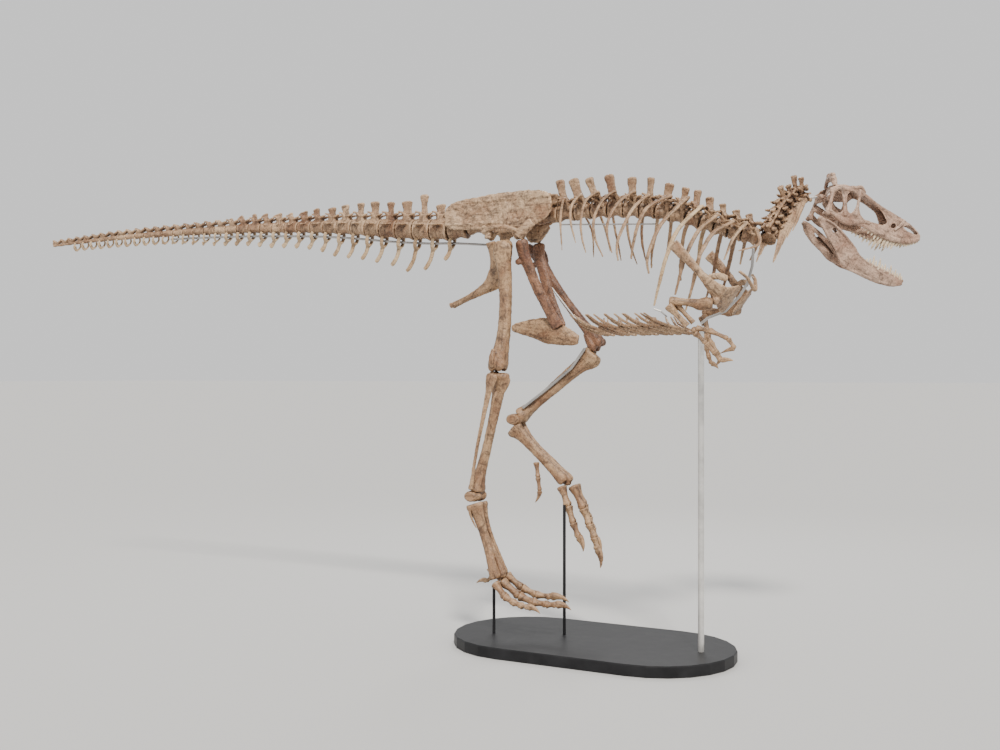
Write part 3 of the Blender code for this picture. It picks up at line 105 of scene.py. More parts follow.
# Shaft of each rib, counted from the front, from its upper knuckle to its free end: x, outward, z.
RIBS = [
    [(0.996, 0.070, 2.377), (1.018, 0.110, 2.297), (0.916, 0.150, 2.261)],
    [(0.936, 0.070, 2.418), (0.880, 0.110, 2.340), (0.839, 0.150, 2.217)],
    [(0.865, 0.090, 2.426), (0.797, 0.190, 2.365), (0.755, 0.250, 2.270), (0.729, 0.270, 2.190),
     (0.687, 0.260, 2.022)],
    [(0.782, 0.090, 2.469), (0.713, 0.190, 2.380), (0.666, 0.250, 2.253), (0.645, 0.270, 2.172),
     (0.603, 0.260, 2.030)],
    [(0.690, 0.090, 2.520), (0.600, 0.200, 2.390), (0.556, 0.263, 2.240), (0.520, 0.268, 2.110),
     (0.483, 0.260, 1.974)],
    [(0.612, 0.090, 2.573), (0.503, 0.190, 2.431), (0.462, 0.250, 2.301), (0.447, 0.270, 2.219),
     (0.454, 0.260, 2.149)],
    [(0.513, 0.090, 2.591), (0.428, 0.190, 2.529), (0.393, 0.250, 2.436), (0.371, 0.270, 2.337),
     (0.350, 0.260, 2.235)],
    [(0.384, 0.090, 2.605), (0.340, 0.190, 2.528), (0.299, 0.250, 2.414), (0.271, 0.270, 2.315),
     (0.273, 0.260, 2.228)],
    [(0.300, 0.090, 2.632), (0.252, 0.190, 2.565), (0.216, 0.250, 2.469), (0.212, 0.270, 2.379),
     (0.238, 0.260, 2.273)],
    [(0.178, 0.090, 2.640), (0.148, 0.190, 2.576), (0.125, 0.250, 2.469), (0.140, 0.270, 2.361),
     (0.184, 0.260, 2.254)],
    [(0.078, 0.090, 2.645), (0.050, 0.190, 2.584), (0.046, 0.250, 2.469), (0.061, 0.270, 2.365),
     (0.081, 0.260, 2.281)],
    [(-0.030, 0.090, 2.635), (-0.033, 0.200, 2.563), (-0.015, 0.255, 2.460), (0.014, 0.250, 2.341)],
    [(-0.135, 0.090, 2.622), (-0.095, 0.220, 2.477), (-0.082, 0.225, 2.306)],
]


# ---- shapes -------------------------------------------------------------------------------------

def along(table, x):
    """Value of a two-column table at x, by straight lines between its rows."""
    rows = sorted(table)
    return float(np.interp(x, [row[0] for row in rows], [row[1] for row in rows]))


def smooth_rows(rows, steps):
    """Rows of a Catmull-Rom curve through the given rows, with so many steps from row to row."""
    rows = np.array(rows, dtype=float)
    if steps <= 1 or len(rows) < 3:
        return rows
    padded = np.vstack([2 * rows[0] - rows[1], rows, 2 * rows[-1] - rows[-2]])
    result = []
    for i in range(1, len(padded) - 2):
        before, start, end, after = padded[i - 1:i + 3]
        for step in range(steps):
            t = step / steps
            bend = 2 * before - 5 * start + 4 * end - after
            twist = 3 * start - before - 3 * end + after
            result.append(0.5 * (2 * start + (end - before) * t + bend * t * t + twist * t ** 3))
    result.append(rows[-1])
    return np.array(result)


THINNEST = 0.0008


class Clay:
    """Closed shapes that overlap, collected in one bmesh and fused later."""

    def __init__(self, side=1.0):
        self.mesh = bmesh.new()
        self.side = side

    def point(self, x, y, z):
        return Vector((x, self.side * y, z))

    def rings(self, rings):
        """Skins a row of rings that have the same number of points, and closes both ends."""
        rows = [[self.mesh.verts.new(self.point(*corner)) for corner in ring] for ring in rings]
        count = len(rows[0])
        for first, second in zip(rows, rows[1:]):
            for i in range(count):
                j = (i + 1) % count
                self.mesh.faces.new((first[i], first[j], second[j], second[i]))
        self.mesh.faces.new(list(reversed(rows[0])))
        self.mesh.faces.new(rows[-1])

    def loft(self, rows, up=(0.0, 0.0, 1.0), sides=16, steps=6, square=1.0):
        """A tube through rows of x, y, z, half width, half height. The height lies toward up.
        A square under 1 gives flatter sides."""
        rows = smooth_rows(rows, steps)
        centres = rows[:, :3]
        tangents = np.gradient(centres, axis=0)
        up = np.array(up, dtype=float)
        rings = []
        for row, tangent in zip(rows, tangents):
            tangent = tangent / np.linalg.norm(tangent)
            across = np.cross(tangent, up)
            across = across / np.linalg.norm(across)
            top = np.cross(across, tangent)
            ring = []
            for i in range(sides):
                angle = 2 * math.pi * (i + 0.5) / sides
                wide = math.copysign(abs(math.cos(angle)) ** square, math.cos(angle))
                high = math.copysign(abs(math.sin(angle)) ** square, math.sin(angle))
                aside = across * wide * max(row[3], THINNEST)
                above = top * high * max(row[4], THINNEST)
                ring.append(row[:3] + aside + above)
            rings.append(ring)
        self.rings(rings)

    def ball(self, centre, radii):
        """An ellipsoid with its axes along x, y and z."""
        place = Matrix.Translation(self.point(*centre)) @ Matrix.Diagonal((*radii, 1.0))
        bmesh.ops.create_uvsphere(self.mesh, u_segments=20, v_segments=12, radius=1.0, matrix=place)

    def plate(self, grid_outer, grid_inner, keep):
        """A curved plate from two grids of points; cells that keep leaves out become openings."""
        outer = [[self.mesh.verts.new(self.point(*p)) for p in row] for row in grid_outer]
        inner = [[self.mesh.verts.new(self.point(*p)) for p in row] for row in grid_inner]
        wide, high = len(outer) - 1, len(outer[0]) - 1

        def kept(i, j):
            return 0 <= i < wide and 0 <= j < high and keep[i][j]

        for i in range(wide):
            for j in range(high):
                if not keep[i][j]:
                    continue
                corners = [(i, j), (i + 1, j), (i + 1, j + 1), (i, j + 1)]
                self.mesh.faces.new([outer[a][b] for a, b in corners])
                self.mesh.faces.new([inner[a][b] for a, b in reversed(corners)])
                for (a, b), (c, d), beside in ((corners[0], corners[1], (i, j - 1)),
                                               (corners[1], corners[2], (i + 1, j)),
                                               (corners[2], corners[3], (i, j + 1)),
                                               (corners[3], corners[0], (i - 1, j))):
                    if not kept(*beside):
                        self.mesh.faces.new((outer[c][d], outer[a][b], inner[a][b], inner[c][d]))

    def turned(self, matrix):
        """Moves everything made so far from a local frame to its place."""
        bmesh.ops.transform(self.mesh, matrix=matrix, verts=self.mesh.verts)


def frame_at(centre, forward, up):
    """Matrix from a local frame (x forward, z up) to a place on the skeleton."""
    forward = Vector(forward).normalized()
    across = Vector(up).cross(forward).normalized()
    up = forward.cross(across)
    matrix = Matrix((forward, across, up)).transposed().to_4x4()
    matrix.translation = Vector(centre)
    return matrix


def clouds(name, size, depth):
    texture = bpy.data.textures.new(name, "CLOUDS")
    texture.noise_scale = size
    texture.noise_depth = depth
    return texture


# The roughness of bone: three noise fields, coarse to fine, each with its depth.
SURFACE = [(clouds("lumps", 0.035, 2), 0.0040), (clouds("knobs", 0.016, 2), 0.0036),
           (clouds("pits", 0.007, 1), 0.0018)]
# How much the streaks' pattern is drawn out along a bone.
GRAIN_STRETCH = 0.13


def add_object(name, mesh, material, nodes):
    obj = bpy.data.objects.new(name, mesh)
    bpy.context.scene.collection.objects.link(obj)
    mesh.materials.append(material)
    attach(obj, "root")
    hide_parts(*nodes)
    return obj


def add_grain(mesh):
    """Stores at each vertex a place in the bone's own frame, short along its length, for streaks."""
    places = np.empty(3 * len(mesh.vertices))
    mesh.vertices.foreach_get("co", places)
    centred = places.reshape(-1, 3) - places.reshape(-1, 3).mean(axis=0)
    axes = np.linalg.eigh(centred.T @ centred)[1]
    axes = axes * np.sign(axes[np.argmax(abs(axes), axis=0), range(3)])
    local = centred @ axes
    local[:, 2] *= GRAIN_STRETCH
    mesh.attributes.new("grain", "FLOAT_VECTOR", "POINT").data.foreach_set("vector", local.ravel())


def bone(name, clay, finish, nodes, voxel=0.0057, rough=1.0, soft=2):
    """Fuses clay to one skin, softens it, roughens it and gives it its finish."""
    material, slot = finish
    bmesh.ops.recalc_face_normals(clay.mesh, faces=clay.mesh.faces)
    mesh = bpy.data.meshes.new(name)
    clay.mesh.to_mesh(mesh)
    clay.mesh.free()
    obj = add_object(name, mesh, material, nodes)
    remesh = obj.modifiers.new("skin", "REMESH")
    remesh.mode = "VOXEL"
    remesh.voxel_size = voxel
    smooth = obj.modifiers.new("soften", "SMOOTH")
    smooth.factor = 0.5
    smooth.iterations = soft
    for texture, depth in SURFACE:
        noise = obj.modifiers.new(texture.name, "DISPLACE")
        noise.texture = texture
        noise.texture_coords = "LOCAL"
        noise.strength = depth * rough
        noise.mid_level = 0.5
    graph = bpy.context.evaluated_depsgraph_get()
    result = bpy.data.meshes.new_from_object(obj.evaluated_get(graph))
    obj.modifiers.clear()
    obj.data = result
    add_grain(result)
    result.shade_smooth()
    result.materials.clear()
    result.materials.append(material)
    return obj


def side_name(side):
    return "left" if side > 0 else "right"


def sided_bone(name, side, clay, finish, **settings):
    """A bone that replaces the node of the same name on its side."""
    full = name + "_" + side_name(side)
    bone(full, clay, finish, [full], **settings)


# ---- materials ----------------------------------------------------------------------------------

def node_maker(material):
    tree = material.node_tree

    def make(kind, **settings):
        node = tree.nodes.new(kind)
        for key, value in settings.items():
            if key in node.inputs:
                node.inputs[key].default_value = value
            else:
                setattr(node, key.lower(), value)
        return node
    return make, tree.links.new


def ramp(node, stops):
    elements = node.color_ramp.elements
    while len(elements) < len(stops):
        elements.new(0.5)
    for element, (place, colour) in zip(elements, stops):
        element.position = place
        element.color = (*colour, 1.0)


GREY = [(value,) * 3 for value in (0.0, 1.0)]


def bone_material(name, pale, mid, dark, gloss=0.44, stain=0.8, streak=0.75):
    """Old bone: pale and tan patches, dark stains, streaks along the bone, specks and pits, with painted
    shade in hollows and creases and painted highlights on convex edges.
    """
    material = bpy.data.materials.new(name)
    material.use_nodes = True
    make, link = node_maker(material)
    shader = material.node_tree.nodes["Principled BSDF"]
    place = make("ShaderNodeTexCoord")
    grain = make("ShaderNodeAttribute", attribute_name="grain")
    patches = make("ShaderNodeTexNoise", Scale=5.5, Detail=8.0, Roughness=0.62, Distortion=0.4)
    stains = make("ShaderNodeTexNoise", Scale=21.0, Detail=9.0, Roughness=0.70, Distortion=1.1)
    specks = make("ShaderNodeTexNoise", Scale=130.0, Detail=5.0, Roughness=0.66)
    pores = make("ShaderNodeTexVoronoi", Scale=150.0)
    for texture in (patches, stains, specks, pores):
        link(place.outputs["Object"], texture.inputs["Vector"])
    streaks = make("ShaderNodeTexNoise", Scale=62.0, Detail=7.0, Roughness=0.62, Distortion=0.3)
    link(grain.outputs["Vector"], streaks.inputs["Vector"])

    def mask(source, stops):
        node = make("ShaderNodeValToRGB")
        ramp(node, stops)
        link(source, node.inputs["Fac"])
        return node.outputs["Color"]

    def mix(factor, first, second, kind="MIX"):
        node = make("ShaderNodeMix", data_type="RGBA", blend_type=kind)
        for value, slot in ((factor, "Factor"), (first, "A"), (second, "B")):
            if isinstance(value, float):
                node.inputs[slot].default_value = value
            elif isinstance(value, tuple):
                node.inputs[slot].default_value = (*value, 1.0)
            else:
                link(value, node.inputs[slot])
        return node.outputs["Result"]

    middle = tuple(0.5 * (a + b) for a, b in zip(mid, pale))
    colour = mask(patches.outputs["Fac"], [(0.36, mid), (0.49, middle), (0.62, pale)])
    colour = mix(mask(stains.outputs["Fac"], [(0.49, GREY[0]), (0.64, (stain,) * 3)]), colour, dark)
    colour = mix(mask(streaks.outputs["Fac"], [(0.51, GREY[0]), (0.66, (streak,) * 3)]), colour, dark)
    colour = mix(0.80, colour, mask(specks.outputs["Fac"], [(0.34, (0.42,) * 3), (0.52, GREY[1])]),
                 "MULTIPLY")
    # Painted shade: ambient occlusion darkens the colour toward dark brown in hollows and recesses.
    recess_shade_ao = make("ShaderNodeAmbientOcclusion", samples=6, Distance=0.06)
    shade = mask(recess_shade_ao.outputs["AO"], [(0.25, (0.22, 0.13, 0.085)), (0.86, GREY[1])])
    colour = mix(0.90, colour, shade, "MULTIPLY")
    edges = make("ShaderNodeNewGeometry")
    # Painted highlight: convex edges, found by pointiness, are mixed toward a colour lighter than the palest
    # bone.
    painted_edge_highlight = tuple(min(1.0, 1.25 * c) for c in pale)
    colour = mix(mask(edges.outputs["Pointiness"], [(0.51, GREY[0]), (0.60, (0.75,) * 3)]), colour, painted_edge_highlight)
    # Painted shade: concave creases, found by pointiness, are darkened.
    painted_crease_shade = mask(edges.outputs["Pointiness"], [(0.40, (0.42, 0.32, 0.25)), (0.495, GREY[1])])
    colour = mix(0.85, colour, painted_crease_shade, "MULTIPLY")
    link(colour, shader.inputs["Base Color"])
    finish = make("ShaderNodeMapRange")
    finish.inputs["To Min"].default_value = gloss - 0.12
    finish.inputs["To Max"].default_value = gloss + 0.24
    link(stains.outputs["Fac"], finish.inputs["Value"])
    link(finish.outputs["Result"], shader.inputs["Roughness"])
    fine = make("ShaderNodeMath", operation="ADD")
    link(specks.outputs["Fac"], fine.inputs[0])
    link(pores.outputs["Distance"], fine.inputs[1])
    normal = None
    for source, strength, depth in ((fine.outputs["Value"], 0.50, 0.0018),
                                    (streaks.outputs["Fac"], 0.60, 0.0035),
                                    (stains.outputs["Fac"], 0.60, 0.0045)):
        bump = make("ShaderNodeBump", Strength=strength, Distance=depth)
        link(source, bump.inputs["Height"])
        if normal:
            link(normal, bump.inputs["Normal"])
        normal = bump.outputs["Normal"]
    link(normal, shader.inputs["Normal"])
    return material


def paint_material(name, colour, roughness, metallic=0.0):
    """Satin paint on steel, with a fine orange-peel surface and faint dust."""
    material = bpy.data.materials.new(name)
    material.use_nodes = True
    make, link = node_maker(material)
    shader = material.node_tree.nodes["Principled BSDF"]
    shader.inputs["Metallic"].default_value = metallic
    place = make("ShaderNodeTexCoord")
    dust = make("ShaderNodeTexNoise", Scale=7.0, Detail=8.0, Roughness=0.65)
    peel = make("ShaderNodeTexNoise", Scale=320.0, Detail=3.0)
    for texture in (dust, peel):
        link(place.outputs["Object"], texture.inputs["Vector"])
    tone = make("ShaderNodeValToRGB")
    ramp(tone, [(0.35, colour), (0.75, tuple(1.7 * c + 0.006 for c in colour))])
    link(dust.outputs["Fac"], tone.inputs["Fac"])
    link(tone.outputs["Color"], shader.inputs["Base Color"])
    finish = make("ShaderNodeMapRange")
    finish.inputs["To Min"].default_value = roughness - 0.08
    finish.inputs["To Max"].default_value = roughness + 0.16
    link(dust.outputs["Fac"], finish.inputs["Value"])
    link(finish.outputs["Result"], shader.inputs["Roughness"])
    bump = make("ShaderNodeBump", Strength=0.12, Distance=0.0006)
    link(peel.outputs["Fac"], bump.inputs["Height"])
    link(bump.outputs["Normal"], shader.inputs["Normal"])
    return material


PALE = (0.46, 0.30, 0.175)
TAN = (0.215, 0.105, 0.052)
UMBER = (0.060, 0.030, 0.017)

AXIAL = (bone_material("bone_axial", PALE, TAN, UMBER), "axial_bone")
CREAM = (bone_material("bone_cream", (0.64, 0.47, 0.28), (0.40, 0.24, 0.12), UMBER, stain=0.6, streak=0.5),
         "light_bone")
LIGHT = (bone_material("bone_light", (0.56, 0.385, 0.235), (0.31, 0.165, 0.085), UMBER), "light_bone")
SKULL = (bone_material("bone_skull", (0.56, 0.385, 0.28), (0.32, 0.175, 0.115), UMBER, streak=0.5),
         "skull_bone")
RED = (bone_material("bone_red", (0.30, 0.150, 0.082), (0.145, 0.060, 0.034), (0.035, 0.016, 0.010)),
       "red_bone")
LIMB = (bone_material("bone_limb", (0.47, 0.30, 0.165), (0.235, 0.115, 0.055), UMBER), "limb_bone")
TEETH = (bone_material("bone_teeth", (0.80, 0.68, 0.50), (0.55, 0.38, 0.22), (0.20, 0.11, 0.06), gloss=0.26,
                       stain=0.3, streak=0.3),
         "skull_bone")
BLACK = paint_material("stand_black", (0.008, 0.008, 0.009), 0.42)
BLACK.node_tree.nodes["Principled BSDF"].inputs["Specular IOR Level"].default_value = 0.2
STEEL = paint_material("rod_grey", (0.30, 0.29, 0.28), 0.38, 0.6)
POST_STEEL = paint_material("post_steel", (0.50, 0.49, 0.47), 0.34, 0.7)


# ---- skull and jaws -----------------------------------------------------------------------------

# Side of the skull: forward, bottom, top, half width low, half width at the roof.
SKULL_SECTIONS = [(-0.014, 0.012, 0.160, 0.118, 0.074), (0.02, -0.010, 0.188, 0.124, 0.080),
                  (0.06, -0.024, 0.202, 0.127, 0.084), (0.115, -0.027, 0.206, 0.124, 0.080),
                  (0.165, -0.010, 0.209, 0.112, 0.070), (0.20, 0.000, 0.201, 0.101, 0.058),
                  (0.26, 0.000, 0.185, 0.086, 0.036), (0.32, -0.013, 0.172, 0.075, 0.030),
                  (0.40, -0.016, 0.156, 0.063, 0.031), (0.48, -0.008, 0.141, 0.051, 0.027),
                  (0.54, 0.010, 0.126, 0.042, 0.024), (0.59, 0.036, 0.104, 0.031, 0.020),
                  (0.618, 0.058, 0.084, 0.018, 0.013)]
# Openings in the side of the skull as rounded outlines: forward, up.
SKULL_OPENINGS = {
    "temporal": [(0.012, 0.034), (0.006, 0.084), (0.014, 0.128), (0.034, 0.150), (0.050, 0.124),
                 (0.064, 0.078), (0.070, 0.040), (0.042, 0.022)],
    "orbit": [(0.091, 0.098), (0.086, 0.140), (0.098, 0.168), (0.124, 0.176), (0.146, 0.164),
              (0.151, 0.122), (0.144, 0.080), (0.126, 0.050), (0.105, 0.060)],
    "antorbital": [(0.176, 0.100), (0.172, 0.150), (0.190, 0.180), (0.235, 0.172), (0.285, 0.157),
                   (0.335, 0.135), (0.368, 0.100), (0.376, 0.082), (0.350, 0.060), (0.300, 0.046),
                   (0.240, 0.050), (0.198, 0.064)],
    "maxillary": [(0.410, 0.076), (0.415, 0.090), (0.430, 0.094), (0.440, 0.084), (0.432, 0.070),
                  (0.416, 0.067)],
    "naris": [(0.492, 0.100), (0.515, 0.114), (0.552, 0.111), (0.585, 0.097), (0.590, 0.084),
              (0.556, 0.082), (0.512, 0.088)],
}
ROOF_OPENINGS = [[(0.034, 0.024), (0.040, 0.056), (0.066, 0.068), (0.092, 0.056), (0.094, 0.030),
                  (0.064, 0.018)]]
WALL_STEP = 0.003
WALL_LEVELS = 44
ROOF_LEVELS = 37
WALL_THICKNESS = 0.010
JAW_THICKNESS = 0.011
# How far the thinned edge of an opening and of a wall's top and bottom reaches in.
OPENING_EDGE = 0.012
WALL_EDGE = 0.010

# Mandible in the jaw's frame: forward, bottom, top, outward, half thickness.
JAW_SECTIONS = [(-0.030, -0.060, -0.036, 0.108, 0.014), (0.000, -0.076, -0.026, 0.116, 0.015),
                (0.035, -0.092, -0.022, 0.120, 0.012), (0.09, -0.112, -0.022, 0.119, 0.010),
                (0.150, -0.132, -0.028, 0.113, 0.010), (0.21, -0.162, -0.036, 0.105, 0.010),
                (0.250, -0.167, -0.043, 0.098, 0.010), (0.295, -0.166, -0.056, 0.089, 0.011),
                (0.366, -0.138, -0.050, 0.074, 0.012), (0.445, -0.113, -0.026, 0.056, 0.012),
                (0.520, -0.080, -0.004, 0.040, 0.011), (0.587, -0.044, 0.014, 0.024, 0.010),
                (0.622, -0.012, 0.024, 0.012, 0.008)]
JAW_OPENINGS = {
    "surangular": [(0.068, -0.052), (0.074, -0.040), (0.088, -0.040), (0.096, -0.050), (0.088, -0.062),
                   (0.074, -0.062)],
}


def head_matrix(pitch):
    """From the head's frame (x forward, y left, z up) to the skeleton's."""
    turn = Matrix.Rotation(HEAD_YAW, 4, "Z") @ Matrix.Rotation(-pitch, 4, "Y")
    return Matrix.Translation(Vector(HEAD_ORIGIN)) @ turn


def inside_distance(outline, x, y):
    """Signed distance from arrays of places to a rounded outline: positive inside it."""
    points = smooth_rows(list(outline) + [outline[0]], 4)[:-1]
    best = np.full(np.shape(x), 1.0)
    inside = np.zeros(np.shape(x), dtype=bool)
    for (ax, ay), (bx, by) in zip(points, np.roll(points, -1, axis=0)):
        if ay != by:
            crossing = ((ay > y) != (by > y)) & (x < (bx - ax) * (y - ay) / (by - ay) + ax)
            inside ^= crossing
        run = (bx - ax) ** 2 + (by - ay) ** 2
        share = np.clip(((x - ax) * (bx - ax) + (y - ay) * (by - ay)) / run, 0.0, 1.0)
        best = np.minimum(best, np.hypot(x - ax - share * (bx - ax), y - ay - share * (by - ay)))
    return np.where(inside, best, -best)


def column(sections, index):
    return [(row[0], row[index]) for row in sections]


def grid_plate(clay, outer, inner, keep):
    """Adds a plate from arrays of outer and inner points, leaving out the cells that keep leaves out."""
    clay.plate(outer.tolist(), inner.tolist(), (keep[:-1, :-1] & keep[1:, 1:]).tolist())


def wall(clay, sections, outlines, place, thickness, side):
    """One side of a skull or jaw as a plate with openings, whose edges are thinned."""
    rows = np.array(sections)
    wide = int((rows[-1, 0] - rows[0, 0]) / WALL_STEP)
    forward, level = np.meshgrid(np.linspace(rows[0, 0], rows[-1, 0], wide),
                                 np.linspace(0.0, 1.0, WALL_LEVELS), indexing="ij")
    bottom = np.interp(forward, rows[:, 0], rows[:, 1])
    top = np.interp(forward, rows[:, 0], rows[:, 2])
    height = bottom + (top - bottom) * level
    out = place(forward, level)
    deepest = np.max([inside_distance(outline, forward, height) for outline in outlines], axis=0)
    edge = np.clip(-deepest / OPENING_EDGE, 0.0, 1.0)
    rim = np.clip(np.minimum(level, 1.0 - level) * (top - bottom) / WALL_EDGE, 0.0, 1.0)
    thick = thickness * (0.45 + 0.55 * edge) * (0.5 + 0.5 * rim)
    outer = np.stack([forward, side * (out - 0.15 * (thickness - thick)), height], axis=-1)
    inner = np.stack([forward, side * (out - thick), height], axis=-1)
    grid_plate(clay, outer, inner, deepest < 0.0)


def skull_place(forward, level):
    """Half width of the skull at a share of its height."""
    rows = np.array(SKULL_SECTIONS)
    low = np.interp(forward, rows[:, 0], rows[:, 3])
    roof = np.interp(forward, rows[:, 0], rows[:, 4])
    return roof + (low - roof) * (1.0 - level ** 1.6) - 0.35 * low * np.maximum(0.0, 0.06 - level)


def roof_plate(clay):
    """The roof from the parietals to the premaxillae, with its two openings."""
    rows = np.array(SKULL_SECTIONS)
    start, end = 0.012, rows[-1, 0]
    forward, share = np.meshgrid(np.linspace(start, end, int((end - start) / WALL_STEP)),
                                 np.linspace(-1.0, 1.0, ROOF_LEVELS), indexing="ij")
    across = share * np.interp(forward, rows[:, 0], rows[:, 4])
    top = np.interp(forward, rows[:, 0], rows[:, 2])
    crest = 0.006 * (1.0 - share * share) + 0.005 * np.exp(-(across / 0.008) ** 2)
    nasals = (forward > 0.3) & (forward < 0.6)
    ripple = nasals * 0.0022 * np.sin(forward * 190.0) * np.exp(-(across / 0.014) ** 2)
    outer = np.stack([forward, across, top + crest + ripple], axis=-1)
    inner = np.stack([forward, across, top - 0.007], axis=-1)
    open_share = np.max([inside_distance(outline, forward, abs(across)) for outline in ROOF_OPENINGS],
                        axis=0)
    grid_plate(clay, outer, inner, open_share < 0.0)


def skull_bars(clay, side):
    """Bars and ridges that stand proud of the skull's side, and the quadrate behind it."""
    def bar(rows, up=(1, 0, 0), square=0.8):
        clay.loft([(x, side * y, z, wide, high) for x, y, z, wide, high in rows], up=up, square=square)

    bar([(0.000, 0.116, 0.022, 0.008, 0.012), (0.040, 0.125, 0.004, 0.008, 0.013),
         (0.085, 0.126, -0.006, 0.009, 0.018), (0.130, 0.120, -0.002, 0.009, 0.018),
         (0.170, 0.109, 0.012, 0.008, 0.014), (0.215, 0.096, 0.032, 0.007, 0.011),
         (0.265, 0.085, 0.042, 0.006, 0.009)], up=(0, 0, 1))
    bar([(0.030, 0.082, 0.180, 0.011, 0.013), (0.052, 0.094, 0.150, 0.010, 0.011),
         (0.070, 0.108, 0.105, 0.009, 0.010), (0.086, 0.120, 0.050, 0.009, 0.011),
         (0.096, 0.122, 0.022, 0.008, 0.012)])
    bar([(0.160, 0.074, 0.204, 0.009, 0.011), (0.161, 0.085, 0.158, 0.007, 0.008),
         (0.162, 0.097, 0.100, 0.007, 0.007), (0.160, 0.106, 0.044, 0.008, 0.012)])
    bar([(0.100, 0.078, 0.198, 0.011, 0.010), (0.130, 0.075, 0.208, 0.011, 0.010),
         (0.158, 0.068, 0.222, 0.010, 0.010), (0.180, 0.058, 0.218, 0.008, 0.009),
         (0.205, 0.048, 0.204, 0.006, 0.007)], up=(0, 0, 1))
    bar([(0.095, 0.090, 0.182, 0.009, 0.012), (0.045, 0.092, 0.172, 0.008, 0.011),
         (0.005, 0.094, 0.148, 0.009, 0.013), (-0.014, 0.098, 0.124, 0.009, 0.013)], up=(0, 0, 1))
    bar([(-0.008, 0.096, 0.138, 0.011, 0.010), (-0.005, 0.102, 0.095, 0.009, 0.010),
         (-0.007, 0.107, 0.045, 0.012, 0.012), (-0.012, 0.109, 0.008, 0.020, 0.014)])
    for out in (0.094, 0.125):
        clay.ball((-0.013, side * out, 0.001), (0.015, 0.014, 0.013))
    bar([(0.006, 0.018, 0.118, 0.008, 0.020), (-0.004, 0.052, 0.110, 0.007, 0.022),
         (-0.014, 0.086, 0.100, 0.006, 0.018)], up=(0, 0, 1))
    bar([(-0.002, 0.098, 0.066, 0.005, 0.022), (0.042, 0.062, 0.044, 0.005, 0.020),
         (0.105, 0.038, 0.036, 0.005, 0.014), (0.175, 0.032, 0.042, 0.006, 0.008),
         (0.290, 0.014, 0.060, 0.006, 0.007), (0.450, 0.008, 0.075, 0.006, 0.006)], up=(0, 0, 1))
    bar([(0.118, 0.040, 0.032, 0.010, 0.007), (0.136, 0.074, 0.016, 0.012, 0.007),
         (0.152, 0.104, 0.016, 0.012, 0.008)], up=(0, 0, 1))
    bar([(0.195, 0.030, 0.050, 0.012, 0.006), (0.240, 0.052, 0.048, 0.018, 0.005),
         (0.280, 0.072, 0.044, 0.016, 0.006)], up=(0, 0, 1))
    bar([(0.225, 0.088, 0.014, 0.008, 0.010), (0.300, 0.078, 0.006, 0.010, 0.013),
         (0.380, 0.066, 0.000, 0.011, 0.015), (0.460, 0.054, 0.006, 0.010, 0.016),
         (0.530, 0.043, 0.022, 0.009, 0.014), (0.585, 0.030, 0.048, 0.009, 0.013),
         (0.612, 0.012, 0.066, 0.010, 0.011)], up=(0, 0, 1))
    bar([(0.432, 0.058, 0.056, 0.004, 0.007), (0.466, 0.048, 0.100, 0.004, 0.009),
         (0.486, 0.034, 0.138, 0.004, 0.009)])
    bar([(0.200, 0.052, 0.196, 0.006, 0.007), (0.290, 0.042, 0.168, 0.006, 0.009),
         (0.380, 0.038, 0.140, 0.006, 0.010), (0.440, 0.040, 0.116, 0.005, 0.009)], up=(0, 0, 1))


def add_skull():
    clay = Clay()
    roof_plate(clay)
    for side in (-1, 1):
        wall(clay, SKULL_SECTIONS, list(SKULL_OPENINGS.values()), skull_place, WALL_THICKNESS, side)
        skull_bars(clay, side)
    clay.loft([(0.008, 0.0, 0.150, 0.036, 0.044), (0.050, 0.0, 0.150, 0.032, 0.042),
               (0.100, 0.0, 0.158, 0.024, 0.034), (0.145, 0.0, 0.174, 0.014, 0.020)])
    clay.loft([(0.008, 0.0, 0.100, 0.024, 0.028), (0.034, 0.0, 0.082, 0.020, 0.032),
               (0.070, 0.0, 0.068, 0.011, 0.024), (0.140, 0.0, 0.070, 0.006, 0.010),
               (0.230, 0.0, 0.082, 0.005, 0.008)])
    clay.ball((-0.020, 0.0, 0.112), (0.017, 0.017, 0.016))
    clay.loft([(0.012, -0.062, 0.182, 0.010, 0.012), (0.004, -0.046, 0.212, 0.011, 0.020),
               (-0.002, -0.026, 0.228, 0.012, 0.024), (-0.004, 0.0, 0.230, 0.013, 0.026),
               (-0.002, 0.026, 0.228, 0.012, 0.024), (0.004, 0.046, 0.212, 0.011, 0.020),
               (0.012, 0.062, 0.182, 0.010, 0.012)], up=(0, 0.05, 1))
    for out, level, size in ((-0.030, 0.246, 0.014), (-0.008, 0.252, 0.012), (0.022, 0.248, 0.015),
                             (-0.046, 0.226, 0.011)):
        clay.ball((-0.004, out, level), (size, size, size))
    clay.loft([(0.588, 0.0, 0.074, 0.020, 0.014), (0.608, 0.0, 0.074, 0.018, 0.016),
               (0.620, 0.0, 0.074, 0.011, 0.012)])
    clay.loft([(0.470, 0.0, 0.140, 0.014, 0.006), (0.530, 0.0, 0.127, 0.011, 0.006),
               (0.590, 0.0, 0.102, 0.009, 0.008), (0.618, 0.0, 0.080, 0.009, 0.008)])
    clay.turned(head_matrix(SKULL_PITCH))
    bone("skull", clay, SKULL, ["skull"], voxel=0.0029, rough=0.75)


def tooth(clay, forward, out, root, length, width, back):
    """A blade-like tooth, bent back, from below its gum line to its point; length has a sign."""
    rows = []
    for share, size in ((-0.25, 0.9), (0.0, 1.0), (0.35, 0.88), (0.7, 0.58), (0.92, 0.24), (1.0, 0.05)):
        bend = back * abs(length) * max(0.0, share) ** 1.6
        rows.append((forward - bend, out, root + length * share, 0.62 * width * size, width * size))
    clay.loft(rows, up=(1, 0, 0), sides=10, steps=3)


